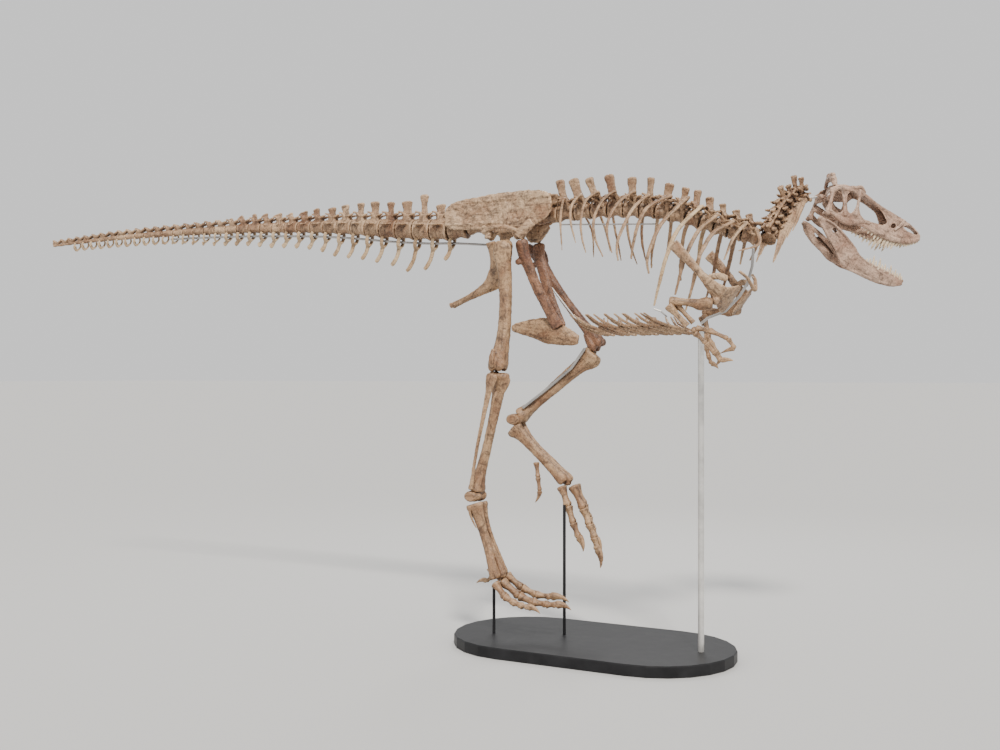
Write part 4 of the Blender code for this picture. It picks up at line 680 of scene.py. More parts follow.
# Teeth of one side: place along the jaw, length.
UPPER_TEETH = [(0.252, 0.016), (0.276, 0.024), (0.300, 0.020), (0.324, 0.034), (0.346, 0.026),
               (0.368, 0.044), (0.390, 0.056), (0.412, 0.060), (0.433, 0.046), (0.452, 0.056),
               (0.472, 0.030), (0.490, 0.020), (0.522, 0.018), (0.540, 0.026), (0.558, 0.022),
               (0.576, 0.018), (0.592, 0.018), (0.606, 0.015)]
LOWER_TEETH = [(0.352, 0.014), (0.372, 0.026), (0.394, 0.050), (0.414, 0.030), (0.437, 0.052),
               (0.458, 0.026), (0.478, 0.034), (0.498, 0.022), (0.516, 0.044), (0.536, 0.022),
               (0.553, 0.036), (0.571, 0.022), (0.587, 0.030), (0.602, 0.018)]
TOOTH_WIDTH = 0.0068


def add_teeth():
    clay = Clay()
    for side in (-1, 1):
        for forward, length in UPPER_TEETH:
            root = along(column(SKULL_SECTIONS, 1), forward) + 0.004
            out = along(column(SKULL_SECTIONS, 3), forward) - 0.007
            tooth(clay, forward, side * out, root, -length, TOOTH_WIDTH + 0.05 * length, 0.22)
    clay.turned(head_matrix(SKULL_PITCH))
    bone("teeth_upper", clay, TEETH, ["skull"], voxel=0.0023, rough=0.15, soft=1)
    for side in (-1, 1):
        clay = Clay(side)
        for forward, length in LOWER_TEETH:
            root = along(column(JAW_SECTIONS, 2), forward) - 0.004
            out = along(column(JAW_SECTIONS, 3), forward)
            tooth(clay, forward, out, root, length + 0.004, TOOTH_WIDTH + 0.05 * length, 0.45)
        clay.turned(head_matrix(JAW_PITCH))
        bone("teeth_lower_" + side_name(side), clay, TEETH, ["mandible_" + side_name(side)], voxel=0.0023,
             rough=0.15, soft=1)


# Left half of the lower jaw: forward, how far its lower edge lies above the right half's.
LEFT_JAW_LIFT = [(0.0, 0.0), (0.09, 0.008), (0.15, 0.020), (0.21, 0.036), (0.25, 0.044), (0.295, 0.044),
                 (0.366, 0.036), (0.445, 0.024), (0.52, 0.010), (0.60, 0.0)]


def add_mandible(side):
    """The lower jaw's outer wall, its rims, the toothed front and the two bars inside it."""
    clay = Clay(side)

    def lift(forward):
        return along(LEFT_JAW_LIFT, forward) if side > 0 else 0.0

    def raised(rows):
        return [(x, y, z + 0.8 * lift(x), wide, high) for x, y, z, wide, high in rows]

    sections = [(s[0], s[1] + lift(s[0]), *s[2:]) for s in JAW_SECTIONS]
    openings = [[(x, z + 0.6 * lift(x)) for x, z in outline] for outline in JAW_OPENINGS.values()]

    def place(forward, level):
        rows = np.array(JAW_SECTIONS)
        return np.interp(forward, rows[:, 0], rows[:, 3]) + 0.006 * np.sin(math.pi * level)

    wall(clay, sections, openings, place, JAW_THICKNESS, 1.0)
    for index, (shift, size) in ((1, (0.006, 0.008)), (2, (-0.006, 0.008))):
        rows = [(s[0], s[3] - 0.003, s[index] + shift, 0.55 * s[4] + 0.002, size) for s in sections[1:]]
        clay.loft(rows, up=(0, 0, 1), sides=12)
    dentary = [(s[0], s[3] - 0.004, 0.5 * (s[1] + s[2]), s[4], 0.44 * (s[2] - s[1])) for s in sections[7:]]
    clay.loft(dentary, up=(0, 0, 1))
    clay.loft(raised([(-0.034, 0.106, -0.048, 0.013, 0.012), (-0.005, 0.106, -0.046, 0.022, 0.018),
                      (0.028, 0.104, -0.060, 0.010, 0.020), (0.080, 0.100, -0.090, 0.006, 0.018),
                      (0.150, 0.092, -0.116, 0.005, 0.018), (0.230, 0.084, -0.138, 0.005, 0.020),
                      (0.310, 0.074, -0.122, 0.005, 0.022), (0.400, 0.060, -0.086, 0.005, 0.018)]))
    clay.loft([(0.000, 0.106, -0.034, 0.008, 0.010), (0.060, 0.103, -0.040, 0.006, 0.009),
               (0.130, 0.098, -0.050, 0.005, 0.009), (0.200, 0.090, -0.064, 0.005, 0.010),
               (0.260, 0.082, -0.086, 0.005, 0.014)])
    clay.loft([(0.006, 0.122, -0.036, 0.010, 0.008), (0.060, 0.126, -0.030, 0.009, 0.007),
               (0.130, 0.120, -0.034, 0.007, 0.007), (0.200, 0.108, -0.044, 0.006, 0.006)])
    clay.loft(raised([(0.272, 0.096, -0.058, 0.004, 0.006), (0.252, 0.102, -0.096, 0.004, 0.006),
                      (0.262, 0.100, -0.130, 0.004, 0.006), (0.300, 0.090, -0.152, 0.004, 0.006)]),
              up=(1, 0, 0))
    clay.turned(head_matrix(JAW_PITCH))
    sided_bone("mandible", side, clay, SKULL, voxel=0.0030, rough=0.75)


# ---- vertebrae ----------------------------------------------------------------------------------

SPINE_ROOT = 0.35


def vertebra(length, radius, rise, lean, spine=(0.66, 0.52, 0.70), thick=0.0075, reach=0.10, lift=0.05,
             sweep=0.02, prongs=1.0, pinch=0.72):
    """A vertebra in its own frame: x forward, z up, its centrum's centre at the origin."""
    clay = Clay()
    rows = []
    for share, wide in ((-0.5, 0.90), (-0.46, 1.02), (-0.36, 0.98), (-0.18, pinch + 0.06), (0.0, pinch),
                        (0.18, pinch + 0.06), (0.36, 0.98), (0.46, 1.02), (0.5, 0.90)):
        rows.append((length * share, 0.0, 0.0, radius * wide * 0.94, radius * wide))
    clay.loft(rows, sides=24, steps=3)
    arch = radius + 0.022 * prongs
    clay.loft([(0.0, 0.0, 0.45 * radius, 0.62 * radius, 0.36 * length),
               (0.0, 0.0, 0.9 * radius, 0.46 * radius, 0.32 * length),
               (-0.002, 0.0, arch + 0.008, 0.026 * prongs + 0.004, 0.34 * length)], up=(1, 0, 0),
               square=0.75)
    base = arch - 0.004
    rows = []
    for share, size, wide in ((0.0, spine[0], 1.6), (0.22, spine[1], 1.05), (0.55, spine[1] * 1.02, 0.85),
                              (0.80, spine[2] * 1.02, 1.25), (0.93, spine[2], 1.70),
                              (0.985, spine[2] * 0.74, 1.3), (1.0, spine[2] * 0.42, 0.7)):
        back = lean * (SPINE_ROOT + (1.0 - SPINE_ROOT) * share)
        rows.append((-back, 0.0, base + (rise - base) * share, thick * wide, 0.5 * length * size))
    clay.loft(rows, up=(1, 0, 0), sides=20, steps=4, square=0.7)
    for side in (-1, 1):
        if prongs > 0.2:
            clay.loft([(0.12 * length, side * 0.30 * radius, arch, 0.010, 0.009),
                       (0.42 * length, side * (0.42 * radius + 0.004), arch + 0.008, 0.010, 0.008),
                       (0.50 * length + 0.014 * prongs, side * (0.42 * radius + 0.006), arch + 0.016,
                        0.009, 0.005)], sides=12)
            clay.loft([(-0.12 * length, side * 0.26 * radius, arch + 0.010, 0.010, 0.008),
                       (-0.46 * length, side * 0.34 * radius, arch + 0.022, 0.008, 0.007),
                       (-0.50 * length - 0.006 * prongs, side * 0.34 * radius, arch + 0.024,
                        0.006, 0.006)], sides=12)
        if reach > 0.012:
            clay.loft([(0.002, side * 0.35 * radius, 0.35 * lift + 0.55 * radius, 0.36 * length, 0.009),
                       (-0.35 * sweep, side * 0.55 * reach, 0.8 * lift + 0.3 * radius, 0.22 * length, 0.0065),
                       (-0.85 * sweep, side * 0.93 * reach, lift + 0.2 * radius, 0.22 * length, 0.0070),
                       (-sweep, side * reach, lift + 0.2 * radius, 0.17 * length, 0.0060)], sides=14)
    return clay


def dorsal_x(number):
    """X of a dorsal vertebra, counted from the front."""
    x = LAST_DORSAL_X
    for step in range(DORSALS - 1 - number):
        x += BACK_PITCH + (FRONT_PITCH - BACK_PITCH) * step / (DORSALS - 2)
    return x


def line_frame(table, x, reach=0.05):
    z = along(table, x)
    slope = along(table, x + reach) - along(table, x - reach)
    return (x, 0.0, z), (2 * reach, 0.0, slope)


# X of the top of each dorsal spine, counted from the front.
SPINE_TOPS = [0.900, 0.822, 0.743, 0.662, 0.593, 0.530, 0.446, 0.344, 0.238, 0.093, -0.015, -0.110, -0.200]


def add_dorsals():
    for number in range(DORSALS):
        x = dorsal_x(number)
        ahead = dorsal_x(max(0, number - 1))
        behind = dorsal_x(min(DORSALS - 1, number + 1))
        pitch = abs(ahead - behind) / (1 if number in (0, DORSALS - 1) else 2)
        centre, forward = line_frame(BACK_LINE, x)
        rise = along(BACK_SPINES, SPINE_TOPS[number]) - centre[2] + 0.006 * math.sin(3.7 * number)
        knuckle = RIBS[number][0]
        wide = 0.52 + 0.08 * math.sin(2.4 * number)
        clay = vertebra(0.93 * pitch, 0.046, rise, x - SPINE_TOPS[number], spine=(0.78, wide, wide + 0.06),
                        reach=0.086, lift=knuckle[2] - centre[2] - 0.020, sweep=x - knuckle[0] + 0.010,
                        thick=0.0100)
        for side in (-1, 1):
            clay.ball((0.30 * pitch, side * 0.040, 0.026), (0.014, 0.012, 0.016))
            clay.loft([(0.25 * pitch, side * 0.036, 0.026, 0.006, 0.007),
                       (0.0, side * 0.050, 0.052, 0.005, 0.007),
                       (-0.02, side * 0.080, 0.062, 0.005, 0.006)], sides=10)
        clay.turned(frame_at(centre, forward, (0, 0, 1)))
        bone("dorsal_%02d" % (number + 1), clay, AXIAL, ["ribcage_left", "ribcage_right"], voxel=0.0043,
             rough=1.5)


# Half depth of the ribs, by number counted from the front, and their taper: share of length, factor.
RIB_SIZES = [(0, 0.0100), (2, 0.0125), (5, 0.0125), (7, 0.0108), (9, 0.0092), (12, 0.0080)]
RIB_TAPER = [(0.0, 1.0), (0.25, 1.05), (0.6, 0.95), (0.85, 0.76), (1.0, 0.50)]
# The first rib on the left is short, clear of the neck.
FIRST_LEFT_RIB = [(0.952, 0.070, 2.385), (0.944, 0.112, 2.315), (0.893, 0.150, 2.235)]


def add_rib(number, side):
    """A rib with its two heads, a bowed shaft and a tapered free end."""
    clay = Clay(side)
    x = dorsal_x(number)
    shaft = np.array(FIRST_LEFT_RIB if number == 0 and side > 0 else RIBS[number])
    head = np.array((x + 0.030, 0.044, along(BACK_LINE, x) + 0.028))
    size = along(RIB_SIZES, number)
    arch = 0.5 * (head + shaft[0]) + np.array((0.0, 0.0, 0.006))
    rows = [(*head, 0.7 * size, size), (*arch, 0.5 * size, 0.85 * size)]
    steps = np.linalg.norm(np.diff(shaft, axis=0), axis=1)
    shares = np.concatenate([[0.0], np.cumsum(steps)]) / steps.sum()
    for place, share in zip(shaft, shares):
        wide = size * along(RIB_TAPER, share)
        rows.append((*place, 0.62 * wide, wide))
    clay.loft(rows, up=(1, 0, 0), sides=14, steps=8, square=0.85)
    clay.ball(tuple(head), (0.011, 0.010, 0.012))
    clay.ball(tuple(shaft[0]), (0.014, 0.011, 0.011))
    finish = CREAM if number == 4 else LIGHT if number in (1, 7, 11) else AXIAL
    bone("rib_%02d_%s" % (number + 1, side_name(side)), clay, finish, ["ribcage_" + side_name(side)],
         voxel=0.0037, rough=0.8)


# Height of each neck spine and length of each neck rib, from the tenth cervical up to the atlas.
NECK_SPINES = [0.082, 0.088, 0.094, 0.100, 0.138, 0.108, 0.140, 0.118]
NECK_RIBS = [0.0, 0.260, 0.300, 0.310, 0.300, 0.285, 0.260, 0.0]


def add_neck():
    line = np.array(NECK_LINE)
    tangents = np.gradient(line, axis=0)
    count = len(line)
    for i in range(count):
        share = i / (count - 1)
        length = np.linalg.norm(tangents[i])
        ahead = tangents[i] / length
        radius = 0.043 - 0.011 * share
        reach = 0.045 if i == 0 else 0.068
        clay = vertebra(0.98 * length, radius, NECK_SPINES[i], 0.012 * (1 - share) - 0.018,
                        spine=(0.84, 0.62, 0.70), thick=0.0095, reach=reach, lift=0.016,
                        sweep=0.010, prongs=0.9, pinch=0.72)
        for side in (-1, 1):
            clay.loft([(0.10 * length, side * 0.036, 0.044, 0.013, 0.010),
                       (-0.40 * length, side * 0.048, 0.060, 0.011, 0.009),
                       (-0.70 * length, side * 0.052, 0.078, 0.006, 0.006)], sides=12)
            clay.loft([(0.20 * length, side * 0.75 * radius, -0.25 * radius, 0.010, 0.012),
                       (0.12 * length, side * (radius + 0.018), -0.55 * radius, 0.010, 0.011)], sides=10)
        clay.turned(frame_at(line[i], tangents[i], (0, 0, 1)))
        bone("cervical_%02d" % (10 - i), clay, AXIAL, ["neck"], voxel=0.0040, rough=1.6)
        if NECK_RIBS[i]:
            across = np.array((-ahead[1], ahead[0], 0.0)) / math.hypot(ahead[0], ahead[1])
            down = np.array((-0.02 - 0.10 * share, -0.92, -1.0))
            down = down / np.linalg.norm(down)
            for side in (-1,) if i == 1 else (-1, 1):
                start = line[i] + side * (radius + 0.014) * across - np.array((0.0, 0.014, 0.2 * radius))
                clay = Clay()
                rows = [(*(start + 0.020 * ahead), 0.009, 0.015), (*(start + 0.014 * down), 0.010, 0.018)]
                for part, sag, thin, wide in ((0.35, 0.006, 0.0075, 0.0135),
                                              (0.70, 0.006, 0.0055, 0.0095), (1.0, 0.0, 0.0028, 0.0040)):
                    rows.append((*(start + part * NECK_RIBS[i] * down + sag * ahead), thin, wide))
                clay.loft(rows, up=tuple(ahead), sides=12)
                bone("cervical_rib_%02d_%s" % (10 - i, side_name(side)), clay, LIGHT, ["neck"],
                     voxel=0.0031, rough=0.5, soft=1)


def add_sacrum():
    for number in range(SACRALS):
        x = FIRST_SACRAL_X - SACRAL_PITCH * number
        centre, forward = line_frame(TAIL_LINE, x)
        clay = vertebra(0.122, 0.047, 0.128, 0.0, spine=(0.98, 0.96, 1.0), thick=0.009, reach=0.060,
                        lift=0.006, sweep=0.0, prongs=0.5, pinch=0.80)
        clay.turned(frame_at(centre, forward, (0, 0, 1)))
        bone("sacral_%d" % (number + 1), clay, AXIAL, ["sacrum"], rough=1.3)


def caudal_edges():
    """X of the joints between the tail's vertebrae: long ones first, shorter toward the tip."""
    lengths = [0.124 if i < 5 else 0.112 - 0.0011 * (i - 5) for i in range(CAUDALS)]
    scale = (TAIL_START_X - TAIL_TIP_X) / sum(lengths)
    edges = [TAIL_START_X]
    for length in lengths:
        edges.append(edges[-1] - length * scale)
    return edges


def tail_node(number):
    return "tail_base" if number < 10 else "tail_mid" if number < 20 else "tail_tip"


def add_caudals():
    edges = caudal_edges()
    for number in range(CAUDALS):
        x = 0.5 * (edges[number] + edges[number + 1])
        length = edges[number] - edges[number + 1]
        centre, forward = line_frame(TAIL_LINE, x)
        radius = along(TAIL_RADII, x)
        rise = along(TAIL_SPINES, x)
        lean = (0.018 if number < 9 else 0.030) + 0.010 * math.sin(3.1 * number)
        prongs = max(0.25, 1.0 - 0.022 * number)
        if number < 14:
            wide = 0.46 + 0.09 * math.sin(2.7 * number)
            spine = (0.66, wide, wide + 0.10)
        else:
            spine = (0.60, 0.44, 0.36)
        reach = (0.13 - 0.0085 * number) if 0 < number < 14 else (0.062 if number == 0 else 0.0)
        clay = vertebra(0.95 * length, radius, max(rise, radius + 0.012), lean, spine=spine,
                        thick=0.0085 if number < 14 else 0.006,
                        reach=max(reach, 0.0), lift=0.012, sweep=0.018, prongs=prongs, pinch=0.80)
        clay.turned(frame_at(centre, forward, (0, 0, 1)))
        finish = LIGHT if number % 5 in (1, 2) else AXIAL
        bone("caudal_%02d" % (number + 1), clay, finish, [tail_node(number)],
             voxel=0.0048 if number < 16 else 0.0026,
             rough=1.3 if number < 16 else 0.8)


def add_chevron(number, x, bottom, drop):
    """A forked bone below the tail, with room for the rod between its arms, and a swept foot."""
    clay = Clay()
    fork = bottom - min(0.060, max(0.046, 0.42 * drop))
    tip = bottom - drop
    thick = 0.0105 if drop > 0.07 else 0.007
    for side in (-1, 1):
        clay.loft([(x + 0.004, side * 0.8 * CHEVRON_ARM, bottom + 0.004, thick, 1.2 * thick),
                   (x, side * CHEVRON_ARM, bottom - 0.014, 0.8 * thick, 1.2 * thick),
                   (x - 0.006, side * 0.80 * CHEVRON_ARM, fork + 0.014, 0.8 * thick, 1.3 * thick),
                   (x - 0.012, 0.0, fork - 0.006, thick, 1.5 * thick)], up=(1, 0, 0), sides=12)
    back = 0.34 * drop if number < 9 else 0.26 * drop + 0.012
    foot = 0.015 if number < 8 else 0.018
    clay.loft([(x - 0.012, 0.0, fork + 0.004, thick, 1.4 * thick),
               (x - 0.012 - 0.30 * back, 0.0, 0.5 * (fork + tip), 0.75 * thick, 1.35 * thick),
               (x - 0.012 - 0.75 * back, 0.0, 0.15 * fork + 0.85 * tip, 0.80 * thick, foot),
               (x - 0.012 - 1.05 * back, 0.0, tip, 0.75 * thick, 0.8 * foot)], up=(1, 0, 0.4), sides=14)
    bone("chevron_%02d" % (number + 1), clay, CREAM, [tail_node(number)], voxel=0.0037, rough=0.6)


def add_chevrons():
    edges = caudal_edges()
    for number in range(CHEVRONS):
        x = edges[number + 1] + CHEVRON_SHIFT
        radius = along(TAIL_RADII, x)
        drop = max(0.022, along(TAIL_CHEVRONS, x) - radius)
        add_chevron(number, x, along(TAIL_LINE, x) - 0.86 * radius, drop)


# ---- hips ---------------------------------------------------------------------------------------

ILIUM_OUTLINE = [(-0.944, 2.570), (-0.925, 2.628), (-0.850, 2.660), (-0.735, 2.676), (-0.598, 2.688),
                 (-0.430, 2.694), (-0.300, 2.690), (-0.236, 2.664), (-0.214, 2.610), (-0.220, 2.560),
                 (-0.250, 2.520), (-0.300, 2.498), (-0.340, 2.470), (-0.372, 2.436), (-0.390, 2.400),
                 (-0.446, 2.400), (-0.472, 2.436), (-0.520, 2.450), (-0.575, 2.434), (-0.600, 2.402),
                 (-0.640, 2.414), (-0.668, 2.462), (-0.735, 2.476), (-0.880, 2.484), (-0.930, 2.510)]
ILIUM_STEP = 0.005


def add_ilium(side):
    """The long hip blade, as a plate inside its outline, with the hip socket's rim and pegs."""
    clay = Clay(side)
    x, z = np.meshgrid(np.arange(-0.960, -0.190, ILIUM_STEP), np.arange(2.384, 2.708, ILIUM_STEP),
                       indexing="ij")
    depth = inside_distance(ILIUM_OUTLINE, x, z)
    bend = (0.068 + 0.10 * np.maximum(0.0, x + 0.34) + 0.10 * np.maximum(0.0, -0.80 - x)
            + 0.16 * np.maximum(0.0, 2.56 - z))
    fade = np.maximum(0.0, (z - 2.45) / 0.25)
    ridge = 0.010 * np.exp(-((x + 0.53 + 0.10 * (z - 2.55)) / 0.035) ** 2) * fade
    turn = np.arctan2(x + 0.53, np.maximum(0.02, z - 2.40))
    fan = 0.0022 * np.sin(turn * 26.0) + 0.0015 * np.sin(turn * 61.0 + 40.0 * z)
    shelf = 0.010 * np.exp(-((z - 2.515) / 0.014) ** 2) * (x < -0.60)
    thick = 0.010 * np.minimum(1.0, 0.35 + np.maximum(depth, 0.0) / 0.020) + 0.005 * (z > 2.64)
    outer = np.stack([x, bend + thick + ridge + fan + shelf, z], axis=-1)
    grid_plate(clay, outer, np.stack([x, bend - thick, z], axis=-1), depth > 0.0)
    clay.loft([(-0.330, 0.106, 2.500, 0.014, 0.026), (-0.385, 0.116, 2.450, 0.022, 0.032),
               (-0.415, 0.118, 2.412, 0.025, 0.031)])
    clay.loft([(-0.660, 0.110, 2.490, 0.012, 0.016), (-0.622, 0.114, 2.450, 0.020, 0.026),
               (-0.618, 0.116, 2.414, 0.024, 0.024)])
    clay.loft([(-0.655, 0.122, 2.448, 0.012, 0.014), (-0.600, 0.132, 2.470, 0.014, 0.014),
               (-0.525, 0.134, 2.480, 0.015, 0.014), (-0.450, 0.128, 2.462, 0.012, 0.014),
               (-0.410, 0.122, 2.440, 0.010, 0.012)])
    sided_bone("ilium", side, clay, LIGHT, voxel=0.0051, rough=2.0)


def add_pubis():
    """Both pubes, joined along their lower half, and the long boot below, which has its own colour."""
    clay = Clay()
    for side in (-1, 1):
        clay.loft([(-0.396, side * 0.113, 2.396, 0.016, 0.026),
                   (-0.394, side * 0.112, 2.378, 0.025, 0.040),
                   (-0.390, side * 0.106, 2.325, 0.023, 0.038),
                   (-0.358, side * 0.092, 2.230, 0.020, 0.034),
                   (-0.305, side * 0.066, 2.090, 0.019, 0.032),
                   (-0.250, side * 0.040, 1.975, 0.018, 0.033),
                   (-0.205, side * 0.018, 1.880, 0.018, 0.040)], up=(1, 0, 0.4))
        clay.ball((-0.418, side * 0.108, 2.268), (0.026, 0.014, 0.020))
    clay.loft([(-0.312, 0.0, 2.075, 0.052, 0.005), (-0.260, 0.0, 1.970, 0.036, 0.007),
               (-0.215, 0.0, 1.880, 0.020, 0.010)],
              up=(1, 0, 0.4))
    bone("pubis", clay, RED, ["pubis"], voxel=0.0051, rough=1.4)
    clay = Clay()
    clay.loft([(-0.520, 0.0, 1.876, 0.008, 0.018), (-0.480, 0.0, 1.882, 0.013, 0.034),
               (-0.380, 0.0, 1.878, 0.019, 0.058), (-0.280, 0.0, 1.862, 0.024, 0.078),
               (-0.200, 0.0, 1.836, 0.025, 0.064), (-0.130, 0.0, 1.816, 0.021, 0.046),
               (-0.082, 0.0, 1.804, 0.013, 0.028)])
    bone("pubis_boot", clay, LIMB, ["pubis"], voxel=0.0051, rough=1.7)


def add_ischium(side):
    clay = Clay(side)
    clay.loft([(-0.606, 0.112, 2.394, 0.020, 0.034), (-0.600, 0.098, 2.340, 0.013, 0.028),
               (-0.598, 0.080, 2.270, 0.010, 0.030), (-0.612, 0.058, 2.195, 0.009, 0.046),
               (-0.672, 0.040, 2.140, 0.009, 0.030), (-0.770, 0.026, 2.094, 0.009, 0.017),
               (-0.862, 0.019, 2.056, 0.009, 0.014),
               (-0.940, 0.017, 2.026, 0.011, 0.017)], up=(1, 0, -0.5),
               sides=20)
    sided_bone("ischium", side, clay, LIMB, voxel=0.0045, rough=1.2)


# ---- legs ---------------------------------------------------------------------------------------

# Joints of each leg, y outward.
LEGS = {
    -1: dict(hip=(-0.477, 0.165, 2.376), knee=(-0.498, 0.200, 1.616), ankle=(-0.672, 0.180, 0.872),
             heel=(-0.672, 0.180, 0.872), ball=(-0.528, 0.148, 0.400),
             knee_gap=0.012, thigh=1.0, fibula_back=0.0),
    1: dict(hip=(-0.477, 0.165, 2.376), knee=(-0.040, 0.250, 1.764), ankle=(-0.565, 0.140, 1.322),
            heel=(-0.592, 0.140, 1.305), ball=(-0.222, 0.150, 0.948),
            knee_gap=0.082, thigh=0.77, fibula_back=-0.040),
}


def between(start, end, share, out=0.0, ahead=(0.0, 0.0, 0.0)):
    place = np.array(start) * (1 - share) + np.array(end) * share + np.array(ahead)
    place[1] += out
    return place


def leg_front(side):
    """Unit vector across each leg bone toward its front, in the x-z plane, for thigh, shin and foot."""
    leg = LEGS[side]
    fronts = []
    for start, end in (("hip", "knee"), ("knee", "ankle"), ("heel", "ball")):
        run = np.array(leg[end]) - np.array(leg[start])
        front = np.array((-run[2], 0.0, run[0]))
        fronts.append(front / np.linalg.norm(front))
    return fronts


def bone_loft(clay, start, end, front, rows, sides=22, steps=6, square=0.9):
    """A long bone: rows of share, outward shift, forward shift, half width, half depth."""
    points = []
    for share, out, ahead, wide, deep in rows:
        points.append((*between(start, end, share, out, front * ahead), wide, deep))
    clay.loft(points, up=front, sides=sides, steps=steps, square=square)


def add_femur(side):
    clay = Clay(side)
    leg = LEGS[side]
    front = leg_front(side)[0]
    hip, knee, thigh = leg["hip"], leg["knee"], leg["thigh"]
    shaft = [(-0.010, 0.022, -0.012, 0.026, 0.036), (0.03, 0.024, -0.010, 0.034, 0.054),
             (0.10, 0.020, -0.006, 0.034, 0.054), (0.20, 0.010, 0.006, 0.034, 0.044),
             (0.38, 0.002, 0.018, 0.034, 0.038), (0.60, 0.0, 0.020, 0.034, 0.038),
             (0.76, 0.0, 0.012, 0.038, 0.042), (0.87, 0.0, 0.0, 0.048, 0.050),
             (0.935, 0.0, -0.002, 0.053, 0.052), (0.975, 0.0, 0.0, 0.046, 0.042)]
    bow = 1.0 if side < 0 else -0.6
    rows = [(share, out, bow * ahead, thigh * wide, thigh * deep) for share, out, ahead, wide, deep in shaft]
    bone_loft(clay, hip, knee, front, rows)
    head = between(hip, knee, 0.02)
    clay.loft([(head[0], head[1] + 0.03, head[2], 0.030, 0.032),
               (head[0], head[1], head[2] + 0.002, 0.032, 0.030),
               (head[0], head[1] - 0.028, head[2] + 0.005, 0.033, 0.034),
               (head[0], head[1] - 0.052, head[2] + 0.005, 0.022, 0.024)])
    for out in (-0.030, 0.030):
        bone_loft(clay, hip, knee, front, [(0.84, 0.7 * out, -0.022, 0.014, 0.020),
                                           (0.92, out, -0.034, 0.021, 0.024),
                                           (0.965, out, -0.030, 0.022, 0.028),
                                           (0.985, out, -0.020, 0.014, 0.018)])
        clay.ball(tuple(between(hip, knee, 0.955, out, front * 0.012)), (0.026, 0.022, 0.028))
    bone_loft(clay, hip, knee, front, [(0.82, 0.052, -0.022, 0.006, 0.012),
                                       (0.90, 0.060, -0.026, 0.010, 0.018),
                                       (0.96, 0.050, -0.024, 0.008, 0.016)], sides=12)
    bone_loft(clay, hip, knee, front, [(0.005, 0.036, 0.030, 0.008, 0.014),
                                       (0.05, 0.036, 0.042, 0.010, 0.017),
                                       (0.11, 0.030, 0.042, 0.009, 0.014),
                                       (0.17, 0.020, 0.030, 0.007, 0.010)], sides=14)
    bone_loft(clay, hip, knee, front, [(0.26, -0.016, -0.026, 0.006, 0.008),
                                       (0.32, -0.018, -0.036, 0.007, 0.012),
                                       (0.38, -0.014, -0.026, 0.006, 0.008)], sides=12)
    finish = RED if side > 0 else LIMB
    sided_bone("femur", side, clay, finish, rough=1.1)


def add_tibia(side):
    clay = Clay(side)
    leg = LEGS[side]
    front = leg_front(side)[1]
    knee, ankle = leg["knee"], leg["ankle"]
    gap = leg["knee_gap"]
    bone_loft(clay, knee, ankle, front, [(gap - 0.004, -0.012, -0.006, 0.036, 0.056),
                                         (gap + 0.02, -0.012, -0.002, 0.044, 0.066),
                                         (gap + 0.06, -0.014, 0.004, 0.038, 0.056),
                                         (gap + 0.14, -0.014, 0.010, 0.027, 0.040),
                                         (0.34, -0.012, 0.012, 0.025, 0.030),
                                         (0.55, -0.010, 0.010, 0.024, 0.028),
                                         (0.74, -0.006, 0.004, 0.028, 0.031),
                                         (0.86, 0.0, 0.0, 0.042, 0.040), (0.92, 0.0, 0.0, 0.058, 0.048),
                                         (0.940, 0.0, 0.0, 0.058, 0.046)])
    bone_loft(clay, knee, ankle, front, [(gap + 0.0, -0.012, 0.040, 0.010, 0.018),
                                         (gap + 0.035, -0.010, 0.056, 0.011, 0.020),
                                         (gap + 0.08, -0.010, 0.052, 0.010, 0.018),
                                         (gap + 0.16, -0.012, 0.034, 0.008, 0.012)],
              sides=16)
    bone_loft(clay, knee, ankle, front, [(gap + 0.14, 0.014, 0.006, 0.006, 0.008),
                                         (gap + 0.22, 0.022, 0.008, 0.008, 0.008),
                                         (gap + 0.32, 0.014, 0.006, 0.006, 0.006)], sides=12)
    for out in (-0.032, 0.012):
        clay.ball(tuple(between(knee, ankle, gap + 0.015, out, front * -0.036)), (0.022, 0.020, 0.020))
    sided_bone("tibia", side, clay, LIMB, rough=1.1)


def add_fibula(side):
    clay = Clay(side)
    leg = LEGS[side]
    front = leg_front(side)[1]
    gap, back = leg["knee_gap"], leg["fibula_back"]
    shaft = [(gap + 0.004, 0.066, back - 0.008, 0.010, 0.030),
             (gap + 0.03, 0.068, back - 0.008, 0.012, 0.038),
             (gap + 0.08, 0.070, back - 0.010, 0.011, 0.031),
             (gap + 0.16, 0.070, back - 0.010, 0.010, 0.020), (0.36, 0.070, back - 0.012, 0.0095, 0.014),
             (0.60, 0.070, 0.8 * back - 0.014, 0.0085, 0.011),
             (0.80, 0.070, 0.6 * back - 0.008, 0.008, 0.011),
             (0.89, 0.070, 0.4 * back - 0.004, 0.010, 0.014), (0.925, 0.072, 0.4 * back, 0.010, 0.016)]
    bone_loft(clay, leg["knee"], leg["ankle"], front, shaft, sides=16)
    sided_bone("fibula", side, clay, LIMB, voxel=0.0043, rough=0.9)


